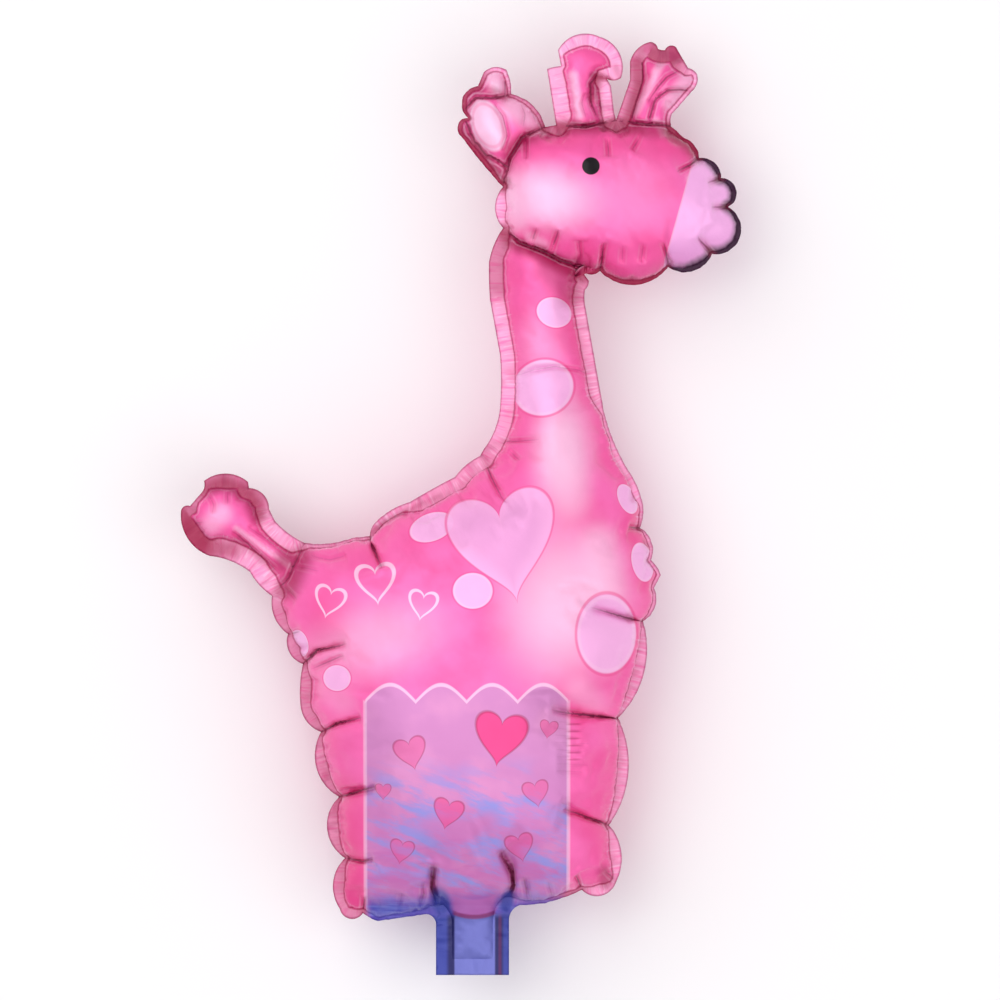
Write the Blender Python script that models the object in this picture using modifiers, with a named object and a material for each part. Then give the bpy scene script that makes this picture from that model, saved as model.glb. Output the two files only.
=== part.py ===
"""A giraffe-shaped foil balloon, lying on its back with its printed face up.

Two printed films are welded together round the edge, so the balloon is one sealed, air-filled piece. The
outline is drawn on a board, as the printer draws it, and inflated: inside the weld the film rises like a
soap skin, and creases run in from each pinch of the edge. Metres, +Z up, +Y towards the horns. The origin is
on the floor, under the middle of the balloon's box.
"""

import math

import bmesh
import bpy
import numpy as np
from mathutils.geometry import delaunay_2d_cdt

# Driving sizes, in metres.
FIGURE_HEIGHT = 0.354
TAB_WIDTH = 0.0292
TAB_LENGTH = 0.028
TAB_WELD = 0.0064
BROAD_WELD = 0.0058
HORN_WELD = 0.0046
FLANK_WELD = 0.0038
FACE_WELD = 0.0020
WELD_THICKNESS = 0.0006
FLAT_SPOT_DEPTH = 0.0040
CREASE_WIDTH = 0.0032

# How the film swells: a tube stays round, a wide chamber stays shallower than its width, and the body
# flattens into the tab over the throat.
SHALLOWING_DEPTH = 0.24
TAB_FULLNESS = 0.30
THROAT_ABOVE_HEM = 0.012
THROAT_LENGTH = 0.020

# How finely the surface is divided: small facets in a band along the weld, and broad ones in the open.
BROAD_FACET = 0.0060
FINE_FACET = 0.0034
FINE_BAND = 0.0100
CLEARANCE = 0.62
CORNER_STEPS = 4
WELD_BLEND = 7
EDGE_FACET_ANGLE = math.radians(34)

# The board: x runs right and y runs down, and the figure stands this many units tall from hem to horn.
BOARD_FIGURE_HEIGHT = 885.0
BOARD_HEM_Y = 905.0
BOARD_TAB_X = 472.5
BOARD_TAB_SHOULDER = 9.0
UNIT = FIGURE_HEIGHT / BOARD_FIGURE_HEIGHT

# The edge, clockwise from the tab's left root. Each row is a knot's x and y and how far the arc to the next
# knot stands out from its chord: negative where the edge is hollow.
HEM_LEFT = [(378, 921, 1)]
LEFT_FLANK = [
    (363, 913, 8), (340, 909, 9.5), (345, 858, 15), (339, 797, 14), (321, 732, 4),
    (301, 709, 2), (303, 664, 7), (288, 634, 6),
]
TAIL = [
    (272, 596, 2), (250, 572, -3), (210, 556, 9), (181, 512, 3), (190, 506, 0),
    (203, 491, -1), (204, 481, 8), (248, 482, 0), (249, 488, 6), (269, 509, 0),
    (275, 521, -2), (305, 543, -3),
]
BACK = [(352, 538, 0), (370, 536, 2), (377, 521, 2.5), (410, 502, 0.5), (455, 477, 2), (480, 456, 0)]
NAPE = [(484, 449, -3), (500, 408, -1), (500, 355, 0), (490, 300, 0.5), (489, 262, 2)]
HEAD_BACK = [(503, 228, 8)]
EAR = [
    (503, 187, 1), (461, 136, 7), (468, 118, 11), (478, 86, 0), (484, 72, 4),
    (506, 70, 2), (511, 94, 7), (545, 127, 0),
]
FRONT_HORN = [
    (556, 125, 0), (547, 69, 0.5), (561, 66, 0), (558, 50, 9), (600, 37, 10),
    (621, 78, 2), (607, 79, 0), (611, 86, 0), (614, 112, 0),
]
FAR_HORN = [
    (616, 120, 0), (619, 112, 0), (630, 80, 0), (630, 62, 4), (650, 42, 2), (658, 49, -0.5),
    (665, 50, 3), (676, 47, 0), (688, 68, 1), (697, 74, 1.5), (695, 88, 0), (672, 114, -1),
]
BROW = [(671, 126, 0), (684, 138, 4)]
MUZZLE = [(699, 158, 7), (721, 178, 12), (728, 207, 21), (712, 254, 11)]
CHIN = [(668, 267, 16), (600, 271, 5)]
THROAT = [(580, 268, 0), (589, 281, 1), (585, 290, -1), (586, 310, 0), (604, 412, -2.5), (628, 470, 2)]
CHEST = [(643, 505, 1.5), (640, 528, 6.5), (651, 560, 1), (661, 575, 0), (654, 588, 7)]
RIGHT_FLANK = [(643, 621, 14), (618, 718, 15), (609, 825, 9), (616, 882, 10)]
HEM_RIGHT = [(582, 890, 1), (545, 903, 0.5)]
EDGE = [
    (HEM_LEFT, FLANK_WELD), (LEFT_FLANK, FLANK_WELD), (TAIL, FLANK_WELD), (BACK, BROAD_WELD),
    (NAPE, BROAD_WELD), (HEAD_BACK, FACE_WELD), (EAR, FACE_WELD), (FRONT_HORN, HORN_WELD),
    (FAR_HORN, HORN_WELD), (BROW, FACE_WELD), (MUZZLE, FACE_WELD), (CHIN, FACE_WELD),
    (THROAT, BROAD_WELD), (CHEST, FLANK_WELD), (RIGHT_FLANK, FLANK_WELD), (HEM_RIGHT, FLANK_WELD),
]

# Creases, on the board: the pinch where each starts, where it dies out, and its depth at the pinch as a share
# of the film's rise.
PINCH_CREASES = [
    ((363, 913), (364, 896), 0.45), ((345, 858), (368, 858), 0.45), ((339, 797), (372, 786), 0.50),
    ((321, 732), (362, 717), 0.50), ((303, 664), (348, 648), 0.50), ((288, 634), (304, 630), 0.35),
    ((370, 536), (382, 566), 0.50), ((482, 453), (506, 502), 0.40), ((503, 228), (508, 240), 0.20),
    ((640, 528), (624, 528), 0.45), ((643, 621), (598, 609), 0.50), ((618, 718), (560, 709), 0.50),
    ((609, 825), (576, 815), 0.50), ((616, 882), (603, 868), 0.35), ((582, 890), (575, 874), 0.40),
    ((699, 158), (678, 173), 0.45), ((721, 178), (708, 184), 0.40), ((728, 207), (712, 208), 0.40),
    ((712, 254), (698, 238), 0.45), ((668, 267), (663, 246), 0.40), ((600, 271), (601, 246), 0.45),
]
BOARD_TAB_CREASE = 46.0
TAB_CREASE_DEPTH = 0.55
# Folds where one chamber bends away from the next, from edge to edge.
FOLDS = [
    ([(503, 228), (528, 246), (556, 260), (580, 268)], 0.50),
    ([(503, 187), (509, 160), (523, 138), (545, 127)], 0.45),
    ([(556, 125), (586, 126), (616, 120)], 0.45),
    ([(616, 120), (644, 124), (671, 126)], 0.45),
    ([(272, 596), (288, 578), (305, 543)], 0.35),
]


def clear_scene():
    for obj in list(bpy.data.objects):
        bpy.data.objects.remove(obj, do_unlink=True)


def arc_points(start, end, stand_out, facet_length):
    """Points from start up to but not including end, along an arc that stands out from their chord."""
    start, end = np.array(start, float), np.array(end, float)
    chord = np.linalg.norm(end - start)
    along = (end - start) / chord
    outward = np.array((along[1], -along[0]))
    if abs(stand_out) < 1e-9:
        count = max(1, round(chord / facet_length))
        return [start + (end - start) * i / count for i in range(count)]
    radius = (chord * chord / 4 + stand_out * stand_out) / (2 * abs(stand_out))
    half_angle = 2 * math.atan(2 * abs(stand_out) / chord)
    centre = (start + end) / 2 + outward * math.copysign(radius - abs(stand_out), -stand_out)
    count = max(1, round(2 * half_angle * radius / facet_length), math.ceil(2 * half_angle / EDGE_FACET_ANGLE))
    side = outward * math.copysign(radius, stand_out)
    turns = [-half_angle + 2 * half_angle * i / count for i in range(count)]
    return [centre + side * math.cos(t) + along * radius * math.sin(t) for t in turns]


def tab_sides():
    """The tab's left and right sides on the board."""
    half_tab = TAB_WIDTH / UNIT / 2
    return BOARD_TAB_X - half_tab, BOARD_TAB_X + half_tab


def edge_loop():
    """The balloon's edge in metres, y up, as points and the weld's width at each."""
    left, right = tab_sides()
    shoulder = BOARD_TAB_SHOULDER
    end = BOARD_HEM_Y + TAB_LENGTH / UNIT
    tab = [
        (right + 1.2 * shoulder, BOARD_HEM_Y, -3), (right, BOARD_HEM_Y + 1.7 * shoulder, 0), (right, end, 0),
        (left, end, 0), (left, BOARD_HEM_Y + 2 * shoulder, -2), (left - shoulder, BOARD_HEM_Y + shoulder, 0),
    ]
    knots = [(*knot, weld) for section, weld in EDGE for knot in section]
    knots += [(*knot, TAB_WELD) for knot in tab]
    points, welds = [], []
    for knot, following in zip(knots, knots[1:] + knots[:1]):
        run = arc_points(knot[:2], following[:2], knot[2], FINE_FACET / UNIT)
        points += run
        welds += [knot[3]] * len(run)
    points = np.array(points) * (UNIT, -UNIT)
    return points, np.array(welds)


def to_metres(board_points, middle):
    return np.array(board_points, float) * (UNIT, -UNIT) - middle


def distance_to_path(points, path, closed=False):
    """Each point's distance to a path, and how far along the path its nearest point is, from 0 to 1."""
    ends = np.roll(path, -1, axis=0) if closed else path[1:]
    starts = path if closed else path[:-1]
    spans = ends - starts
    lengths = np.maximum(np.linalg.norm(spans, axis=1), 1e-12)
    before = np.concatenate([[0], np.cumsum(lengths)[:-1]])
    nearest = np.full(len(points), np.inf)
    share = np.zeros(len(points))
    for start, span, length, run in zip(starts, spans, lengths, before):
        t = np.clip((points - start) @ span / length**2, 0, 1)
        away = np.linalg.norm(points - (start + t[:, None] * span), axis=1)
        closer = away < nearest
        nearest[closer] = away[closer]
        share[closer] = (run + t[closer] * length) / lengths.sum()
    return nearest, share


def resampled(path, step, closed=False):
    """The path again, with its points about a step apart."""
    whole = np.vstack([path, path[:1]]) if closed else np.array(path, float)
    run = np.concatenate([[0], np.cumsum(np.linalg.norm(np.diff(whole, axis=0), axis=1))])
    count = max(2, round(run[-1] / step))
    marks = np.linspace(0, run[-1], count + 1)
    points = np.column_stack([np.interp(marks, run, whole[:, axis]) for axis in (0, 1)])
    return points[:-1] if closed else points


def weld_line(edge, welds):
    """The weld's inner line: the edge moved inwards by the weld's width, with crossings trimmed off."""
    half_blend = WELD_BLEND // 2
    wrapped = np.concatenate([welds[-half_blend:], welds, welds[:half_blend]])
    widths = np.convolve(wrapped, np.ones(WELD_BLEND) / WELD_BLEND, "valid")
    moved, moved_widths = [], []
    count = len(edge)
    for i in range(count):
        before, here, after = edge[i - 1], edge[i], edge[(i + 1) % count]
        normals = []
        for start, end in ((before, here), (here, after)):
            along = (end - start) / np.linalg.norm(end - start)
            normals.append(np.array((along[1], -along[0])))
        width, next_width = widths[i], widths[(i + 1) % count]
        for t in np.arange(CORNER_STEPS) / CORNER_STEPS:
            turned = normals[0] * (1 - t) + normals[1] * t
            moved.append(here + turned / np.linalg.norm(turned) * width)
            moved_widths.append(width)
        for t in np.arange(CORNER_STEPS) / CORNER_STEPS:
            blended = width * (1 - t) + next_width * t
            moved.append(here + (after - here) * t + normals[1] * blended)
            moved_widths.append(blended)
    moved, moved_widths = np.array(moved), np.array(moved_widths)
    clear, _ = distance_to_path(moved, edge, closed=True)
    crossed = clear < 0.93 * moved_widths
    return resampled(moved[~crossed], FINE_FACET, closed=True)


def inside(points, loop):
    """Which points lie inside a closed loop, by counting crossings."""
    found = np.zeros(len(points), bool)
    for (x0, y0), (x1, y1) in zip(loop, np.roll(loop, -1, axis=0)):
        spans = (y0 > points[:, 1]) != (y1 > points[:, 1])
        with np.errstate(divide="ignore", invalid="ignore"):
            at = x0 + (points[:, 1] - y0) * (x1 - x0) / (y1 - y0)
        found ^= spans & (points[:, 0] < at)
    return found


def honeycomb(loop, creases, step, nearest, farthest):
    """A honeycomb of points inside the loop, between two distances from it and clear of the creases."""
    low, high = loop.min(axis=0), loop.max(axis=0)
    rows = np.arange(low[1], high[1], step * math.sqrt(3) / 2)
    columns = np.arange(low[0], high[0], step)
    points = np.array([(x + (row % 2) * step / 2, y) for row, y in enumerate(rows) for x in columns])
    points = points[inside(points, loop)]
    away, _ = distance_to_path(points, loop, closed=True)
    points = points[(away > nearest) & (away < farthest)]
    for crease in creases:
        away, _ = distance_to_path(points, crease)
        points = points[away > CLEARANCE * step]
    return points


def flat_sheet(edge, seam, creases):
    """The film laid flat: its points, and its triangles inside the edge."""
    fine = honeycomb(seam, creases, FINE_FACET, CLEARANCE * FINE_FACET, FINE_BAND)
    broad = honeycomb(seam, creases, BROAD_FACET, FINE_BAND + CLEARANCE * FINE_FACET, FIGURE_HEIGHT)
    points = [*edge, *seam, *fine, *broad]
    links = [(len(edge) + i, len(edge) + (i + 1) % len(seam)) for i in range(len(seam))]
    for crease in creases:
        within = crease[inside(crease, seam)]
        clear, _ = distance_to_path(within, seam, closed=True)
        within = within[clear > CLEARANCE / 2 * FINE_FACET]
        first = len(points)
        points += list(within)
        links += [(first + i, first + i + 1) for i in range(len(within) - 1)]
    found = delaunay_2d_cdt([tuple(p) for p in points], links, [list(range(len(edge)))], 1, 1e-7)
    return np.array([tuple(v) for v in found[0]]), np.array(found[2])


def stiffness(points, triangles):
    """Each edge's weight between its two points, and each point's share of the area."""
    corners = points[triangles]
    starts, ends, weights = [], [], []
    for k in range(3):
        apex, a, b = corners[:, k], corners[:, (k + 1) % 3], corners[:, (k + 2) % 3]
        u, v = a - apex, b - apex
        cross = np.abs(u[:, 0] * v[:, 1] - u[:, 1] * v[:, 0])
        weights.append((u * v).sum(axis=1) / np.maximum(cross, 1e-14) / 2)
        starts.append(triangles[:, (k + 1) % 3])
        ends.append(triangles[:, (k + 2) % 3])
    areas = np.bincount(triangles.ravel(), np.repeat(cross / 6, 3), len(points))
    return np.concatenate(starts), np.concatenate(ends), np.concatenate(weights), areas


def soap_skin(points, triangles, free):
    """The rise of a skin under even pressure, held at nought off the free points, by conjugate gradients."""
    start, end, weight, areas = stiffness(points, triangles)
    size = len(points)
    diagonal = np.bincount(start, weight, size) + np.bincount(end, weight, size)

    def pulled(values):
        across = np.bincount(start, weight * values[end], size) + np.bincount(end, weight * values[start], size)
        return (diagonal * values - across) * free

    rise = np.zeros(size)
    left = areas * free
    search = left.copy()
    strength = left @ left
    while strength > 1e-20 * (areas @ areas):
        pull = pulled(search)
        move = strength / (search @ pull)
        rise += move * search
        left -= move * pull
        was, strength = strength, left @ left
        search = left + search * strength / was
    return rise


def crease_paths(middle):
    """Every crease and fold in metres, with its depth and whether it dies out along its length."""
    pinches = list(PINCH_CREASES)
    for side in tab_sides():
        root = (side, BOARD_HEM_Y)
        pinches.append((root, (side, BOARD_HEM_Y - BOARD_TAB_CREASE), TAB_CREASE_DEPTH))
    paths = [(to_metres([start, end], middle), depth, True) for start, end, depth in pinches]
    paths += [(to_metres(knots, middle), depth, False) for knots, depth in FOLDS]
    return paths


def film_rise(points, triangles, seam, creases, middle):
    """How far each point of the flat film rises above the weld."""
    clear, _ = distance_to_path(points, seam, closed=True)
    free = (inside(points, seam) & (clear > 1e-6)).astype(float)
    rise = np.sqrt(2 * np.maximum(soap_skin(points, triangles, free), 0))
    rise = rise / (1 + rise / SHALLOWING_DEPTH)
    throat_top = THROAT_ABOVE_HEM - BOARD_HEM_Y * UNIT - middle[1]
    down_throat = np.clip((throat_top - points[:, 1]) / THROAT_LENGTH, 0, 1)
    rise *= 1 - (1 - TAB_FULLNESS) * down_throat * down_throat * (3 - 2 * down_throat)
    for path, depth, dies_out in creases:
        away, share = distance_to_path(points, path)
        fade = np.sqrt(1 - share) if dies_out else 1
        rise *= 1 - depth * fade * np.exp(-away / CREASE_WIDTH)
    return rise * free


def half_shell(name, points, triangles, rise):
    """The upper half of the balloon as an open mesh, down to the weld's middle plane at z 0."""
    heights = rise + WELD_THICKNESS / 2
    shell = bmesh.new()
    top = [shell.verts.new((x, y, z)) for (x, y), z in zip(points, heights)]
    for triangle in triangles:
        shell.faces.new([top[i] for i in triangle])
    rim = [edge for edge in shell.edges if edge.is_boundary]
    lowered = bmesh.ops.extrude_edge_only(shell, edges=rim)["geom"]
    for element in lowered:
        if isinstance(element, bmesh.types.BMVert):
            element.co.z = 0
    bmesh.ops.recalc_face_normals(shell, faces=shell.faces)
    tallest = max(shell.faces, key=lambda face: face.calc_center_median().z)
    if tallest.normal.z < 0:
        bmesh.ops.reverse_faces(shell, faces=shell.faces)
    mesh = bpy.data.meshes.new(name)
    shell.to_mesh(mesh)
    shell.free()
    return mesh


def pink_film():
    material = bpy.data.materials.new("printed_foil")
    material.use_nodes = True
    shader = material.node_tree.nodes["Principled BSDF"]
    shader.inputs["Base Color"].default_value = (0.93, 0.20, 0.45, 1)
    shader.inputs["Metallic"].default_value = 0.6
    shader.inputs["Roughness"].default_value = 0.28
    return material


def floor_cutter(collection, reach):
    """A block whose top is the floor, to press the flat spot into the balloon's back."""
    bpy.ops.mesh.primitive_cube_add(size=1, location=(0, 0, -0.5 * reach))
    cutter = bpy.context.object
    cutter.name = "floor_cutter"
    cutter.scale = (2 * reach, 2 * reach, reach)
    cutter.hide_render = True
    cutter.display_type = "WIRE"
    for owner in list(cutter.users_collection):
        owner.objects.unlink(cutter)
    collection.objects.link(cutter)
    return cutter


def balloon(collection, cutters):
    edge, welds = edge_loop()
    middle = (edge.min(axis=0) + edge.max(axis=0)) / 2
    edge = edge - middle
    seam = weld_line(edge, welds)
    creases = crease_paths(middle)
    lines = [resampled(path, FINE_FACET) for path, _, _ in creases]
    points, triangles = flat_sheet(edge, seam, lines)
    rise = film_rise(points, triangles, seam, creases, middle)
    mesh = half_shell("giraffe_balloon", points, triangles, rise)
    obj = bpy.data.objects.new("giraffe_balloon", mesh)
    collection.objects.link(obj)
    obj.data.materials.append(pink_film())
    obj.location.z = rise.max() + WELD_THICKNESS / 2 - FLAT_SPOT_DEPTH
    mirror = obj.modifiers.new("back film", "MIRROR")
    mirror.use_axis = (False, False, True)
    mirror.merge_threshold = 0.00005
    cut = obj.modifiers.new("flat spot", "BOOLEAN")
    cut.operation = "DIFFERENCE"
    cut.object = floor_cutter(cutters, FIGURE_HEIGHT)
    return obj


def main():
    clear_scene()
    balloon_collection = bpy.data.collections.new("giraffe balloon")
    cutter_collection = bpy.data.collections.new("cutters")
    for collection in (balloon_collection, cutter_collection):
        bpy.context.scene.collection.children.link(collection)
    balloon(balloon_collection, cutter_collection)


main()
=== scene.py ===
import math

import bpy
import numpy as np
from bpy.props import FloatProperty, FloatVectorProperty, IntProperty, PointerProperty
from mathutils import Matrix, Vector
from mathutils.bvhtree import BVHTree
from mathutils.geometry import delaunay_2d_cdt
from mathutils.kdtree import KDTree


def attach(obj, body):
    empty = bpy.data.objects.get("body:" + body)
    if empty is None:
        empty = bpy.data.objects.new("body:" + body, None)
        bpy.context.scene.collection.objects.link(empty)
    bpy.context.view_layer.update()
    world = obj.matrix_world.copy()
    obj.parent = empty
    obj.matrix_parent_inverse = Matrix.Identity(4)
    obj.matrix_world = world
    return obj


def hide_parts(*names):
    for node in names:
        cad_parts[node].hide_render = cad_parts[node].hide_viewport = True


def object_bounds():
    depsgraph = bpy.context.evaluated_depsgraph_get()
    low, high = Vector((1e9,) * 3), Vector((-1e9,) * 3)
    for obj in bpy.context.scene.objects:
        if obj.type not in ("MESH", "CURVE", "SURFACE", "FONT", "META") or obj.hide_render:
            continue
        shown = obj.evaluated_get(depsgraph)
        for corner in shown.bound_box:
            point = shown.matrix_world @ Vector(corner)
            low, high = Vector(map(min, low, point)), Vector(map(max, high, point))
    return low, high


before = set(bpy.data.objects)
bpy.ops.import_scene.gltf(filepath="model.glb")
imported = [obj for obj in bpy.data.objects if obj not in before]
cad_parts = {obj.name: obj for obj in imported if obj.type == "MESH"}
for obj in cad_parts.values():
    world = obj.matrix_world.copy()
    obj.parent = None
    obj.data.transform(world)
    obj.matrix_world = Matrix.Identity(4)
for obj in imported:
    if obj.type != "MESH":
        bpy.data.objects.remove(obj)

bl_info = {
    "name": "Giraffe balloon",
    "version": (1, 0, 0),
    "blender": (4, 5, 0),
    "location": "3D View > Sidebar > Balloon",
    "description": "Inflates and prints a giraffe-shaped foil balloon round its packed solid",
    "category": "Mesh",
}

CAD_LOW, CAD_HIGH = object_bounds()
NODE = "giraffe_balloon"
BODY = "root"

# The board that the outline and the print are drawn on: x runs right, y runs down, and the figure stands this
# many units tall from hem to horn.
BOARD_FIGURE_HEIGHT = 885.0
BOARD_HEM_Y = 905.0
BOARD_TAB_X = 472.5
BOARD_TAB_SHOULDER = 9.0
BOARD_PICTURE_MIDDLE = (500.0, 500.0)
BOARD_PICTURE_WIDTH = 1000.0

# The edge, clockwise from the tab's left root. Each row is a knot's x and y, how far the arc to the next knot
# stands out from its chord (negative where the edge is hollow), and the weld there as a share of its
# section's width. Half way to the next knot the weld has its whole width.
HEM_LEFT = [(378, 921, 1, 0.5)]
LEFT_FLANK = [
    (363, 913, 8, 0.2), (340, 909, 9.5, 0.7), (345, 858, 15, 0.2), (339, 797, 14, 0.2), (321, 732, 4, 0.2),
    (301, 709, 2, 0.9), (303, 664, 7, 0.2), (288, 634, 6, 0.3),
]
TAIL_UNDER = [(272, 596, 2, 0.7), (250, 572, -3, 1)]
TUFT = [(210, 556, 9, 1), (181, 512, 3, 0.5)]
TUFT_NOTCH = [(190, 506, 0, 1), (203, 491, -1, 1)]
TUFT_TOP = [(204, 481, 8, 0.6), (248, 482, 0, 0.6), (249, 488, 6, 0.6)]
TAIL_OVER = [(269, 509, 0, 0.8), (275, 521, -2, 1)]
RUMP = [(305, 543, -3, 0.9), (352, 538, 0, 0.7)]
BACK_START = [(370, 536, 2, 0.3), (377, 521, 2.5, 0.9)]
BACK = [(410, 502, 0.5, 0.9), (455, 477, 2, 1), (480, 456, 0, 1)]
NAPE = [(484, 449, -3, 1), (500, 408, -1, 1), (500, 355, 0, 1)]
NAPE_SHADED = [(490, 300, 0.5, 1), (489, 262, 2, 1)]
HEAD_BACK = [(503, 228, 8, 0.3)]
EAR_UNDER = [(503, 187, 1, 0.4), (461, 136, 7, 0.6), (468, 118, 11, 0.4), (478, 86, 0, 0.8)]
EAR_LOBE = [(484, 72, 4, 1), (506, 70, 2, 1)]
EAR_OVER = [(511, 94, 7, 0.6), (545, 127, 0, 0.8)]
HORN_FLAP = [(556, 125, 0, 1)]
HORN_NOTCH = [(547, 69, 0.5, 1), (561, 66, 0, 1)]
FRONT_HORN = [
    (558, 50, 9, 0.6), (600, 37, 10, 1), (621, 78, 2, 1), (607, 79, 0, 0.9), (611, 86, 0, 1),
    (614, 112, 0, 1),
]
FAR_HORN_LEFT = [(616, 120, 0, 1), (619, 112, 0, 1), (630, 80, 0, 1), (630, 62, 4, 1)]
FAR_HORN_TOP = [(650, 42, 2, 1), (658, 49, -0.5, 1), (665, 50, 3, 1), (676, 47, 0, 1)]
FAR_HORN_RIGHT = [(688, 68, 1, 1), (697, 74, 1.5, 1), (695, 88, 0, 1), (672, 114, -1, 1)]
BROW = [(671, 126, 0, 0.8), (684, 138, 4, 0.8)]
MUZZLE = [(699, 158, 7, 0.4), (721, 178, 12, 0.4), (728, 207, 21, 0.4), (712, 254, 11, 0.4)]
CHIN = [(668, 267, 16, 0.5), (600, 271, 5, 0.5)]
THROAT = [(580, 268, 0, 0.5), (589, 281, 1, 0.5), (585, 290, -1, 0.8), (586, 310, 0, 1), (595, 361, 0, 1)]
THROAT_LOW = [(604, 412, -0.6, 0.3)]
NECK_FOOT = [(614, 442, -0.6, 0.6), (628, 470, 2, 0.9)]
CHEST = [
    (643, 505, 1.5, 0.6), (640, 528, 6.5, 0.3), (651, 560, 1, 0.7), (661, 575, 0, 0.6), (654, 588, 7, 0.6),
]
RIGHT_FLANK = [(643, 621, 14, 0.2), (618, 718, 15, 0.2), (609, 825, 9, 0.2), (616, 882, 10, 0.3)]
HEM_RIGHT = [(582, 890, 1, 0.4), (545, 903, 0.5, 0.7)]
# Each section with its weld and how much painted shade darkens its weld, from pale to crimson.
EDGE = [
    (HEM_LEFT, "face_weld", 0.6), (LEFT_FLANK, "flank_weld", 0.5), (TAIL_UNDER, "tail_weld", 0.15),
    (TUFT, "tuft_weld", 0.9), (TUFT_NOTCH, "face_weld", 0.5), (TUFT_TOP, "tuft_weld", 0.65),
    (TAIL_OVER, "tuft_weld", 0.2), (RUMP, "face_weld", 0.3), (BACK_START, "narrow_weld", 0.25),
    (BACK, "broad_weld", 0.25), (NAPE, "broad_weld", 0.1), (NAPE_SHADED, "broad_weld", 0.55),
    (HEAD_BACK, "flank_weld", 0.0), (EAR_UNDER, "face_weld", 0.9), (EAR_LOBE, "face_weld", 0.1),
    (EAR_OVER, "face_weld", 0.5), (HORN_FLAP, "flap_weld", 0.06), (HORN_NOTCH, "face_weld", 0.05),
    (FRONT_HORN, "horn_weld", 0.05), (FAR_HORN_LEFT, "horn_weld", 0.5), (FAR_HORN_TOP, "horn_weld", 0.85),
    (FAR_HORN_RIGHT, "face_weld", 0.1), (BROW, "face_weld", 1.0), (MUZZLE, "face_weld", 1.0),
    (CHIN, "face_weld", 1.0), (THROAT, "flank_weld", 0.25), (THROAT_LOW, "face_weld", 0.05),
    (NECK_FOOT, "narrow_weld", 0.0), (CHEST, "face_weld", 0.1), (RIGHT_FLANK, "flank_weld", 0.16),
    (HEM_RIGHT, "face_weld", 0.6),
]

# Creases that start at a pinch and die out: the knots, and the depth at the pinch as a share of the rise.
PINCH_CREASES = [
    ([(363, 913), (364, 896)], 0.45), ([(345, 858), (362, 860), (376, 857)], 0.45),
    ([(339, 797), (354, 792), (378, 785)], 0.5), ([(321, 732), (338, 723), (364, 716)], 0.5),
    ([(303, 664), (318, 651), (350, 643)], 0.5), ([(288, 634), (304, 630)], 0.35),
    ([(370, 536), (374, 548), (383, 568)], 0.5), ([(482, 453), (492, 478), (505, 503)], 0.4),
    ([(503, 228), (508, 240)], 0.2), ([(640, 528), (627, 527)], 0.42),
    ([(643, 621), (622, 616), (592, 607)], 0.44), ([(618, 718), (590, 714), (553, 708)], 0.5),
    ([(609, 825), (590, 818), (562, 807)], 0.5), ([(616, 882), (603, 868)], 0.35),
    ([(582, 890), (575, 872)], 0.4), ([(699, 158), (690, 166), (675, 174)], 0.45),
    ([(721, 178), (706, 184)], 0.4), ([(728, 207), (710, 208)], 0.4), ([(712, 254), (697, 237)], 0.45),
    ([(668, 267), (666, 256), (661, 242)], 0.4), ([(600, 271), (602, 258), (604, 242)], 0.45),
    ([(440, 907), (433, 886), (434, 864)], 0.6), ([(505, 905), (513, 886), (512, 870), (501, 848)], 0.6),
    ([(484, 449), (508, 442), (538, 441)], 0.3), ([(505, 82), (505, 104)], 0.3),
]
# Creases that die out at both ends.
LOOSE_CREASES = [
    ([(374, 532), (388, 523), (406, 514)], 0.34),
    ([(514, 377), (534, 370), (555, 367), (576, 370), (594, 378)], 0.16),
    ([(314, 668), (330, 662), (348, 655)], 0.2), ([(340, 789), (368, 784)], 0.15),
    ([(526, 136), (527, 162)], 0.2), ([(607, 139), (608, 160)], 0.18), ([(640, 136), (631, 154)], 0.18),
    ([(559, 230), (551, 252)], 0.25), ([(640, 262), (642, 244)], 0.15), ([(622, 264), (622, 246)], 0.12),
    ([(580, 262), (579, 240)], 0.15), ([(532, 244), (538, 228)], 0.2), ([(510, 452), (520, 462)], 0.15),
    ([(420, 905), (424, 880)], 0.25), ([(528, 900), (524, 874)], 0.22), ([(398, 910), (402, 890)], 0.15),
    ([(552, 896), (548, 880)], 0.15), ([(588, 812), (560, 800)], 0.08),
    ([(494, 104), (503, 117), (507, 136), (501, 152)], 0.22), ([(294, 566), (320, 572)], 0.1),
    ([(283, 586), (300, 600)], 0.12), ([(598, 119), (592, 102), (591, 84), (597, 75), (611, 78)], 0.4),
    ([(604, 117), (600, 104), (603, 92)], 0.3), ([(606, 126), (610, 110), (605, 98)], 0.2),
    ([(586, 118), (582, 104), (586, 92)], 0.15), ([(682, 69), (667, 77), (657, 89), (648, 103)], 0.3),
    ([(466, 141), (480, 160), (497, 180)], 0.3), ([(520, 104), (525, 115), (523, 127)], 0.15),
    ([(531, 112), (535, 124)], 0.12), ([(232, 531), (252, 548), (276, 570)], 0.3),
    ([(248, 526), (270, 541), (294, 560)], 0.15), ([(256, 518), (262, 506), (250, 500)], 0.3),
    ([(196, 534), (208, 540), (222, 542)], 0.2), ([(208, 494), (214, 504), (213, 514)], 0.15),
    ([(228, 491), (228, 504)], 0.15), ([(190, 524), (204, 522)], 0.15),
    ([(312, 556), (330, 560), (348, 556)], 0.1), ([(640, 540), (650, 552)], 0.2),
]
# Fine wrinkles across the right flank, this far apart. They are shallow creases that painted shade darkens.
WRINKLE_PITCH = 7
LOOSE_CREASES += [([(556, y), (586 - y % 3 * 4, y + 2)], 0.045) for y in range(720, 772, WRINKLE_PITCH)]
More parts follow.
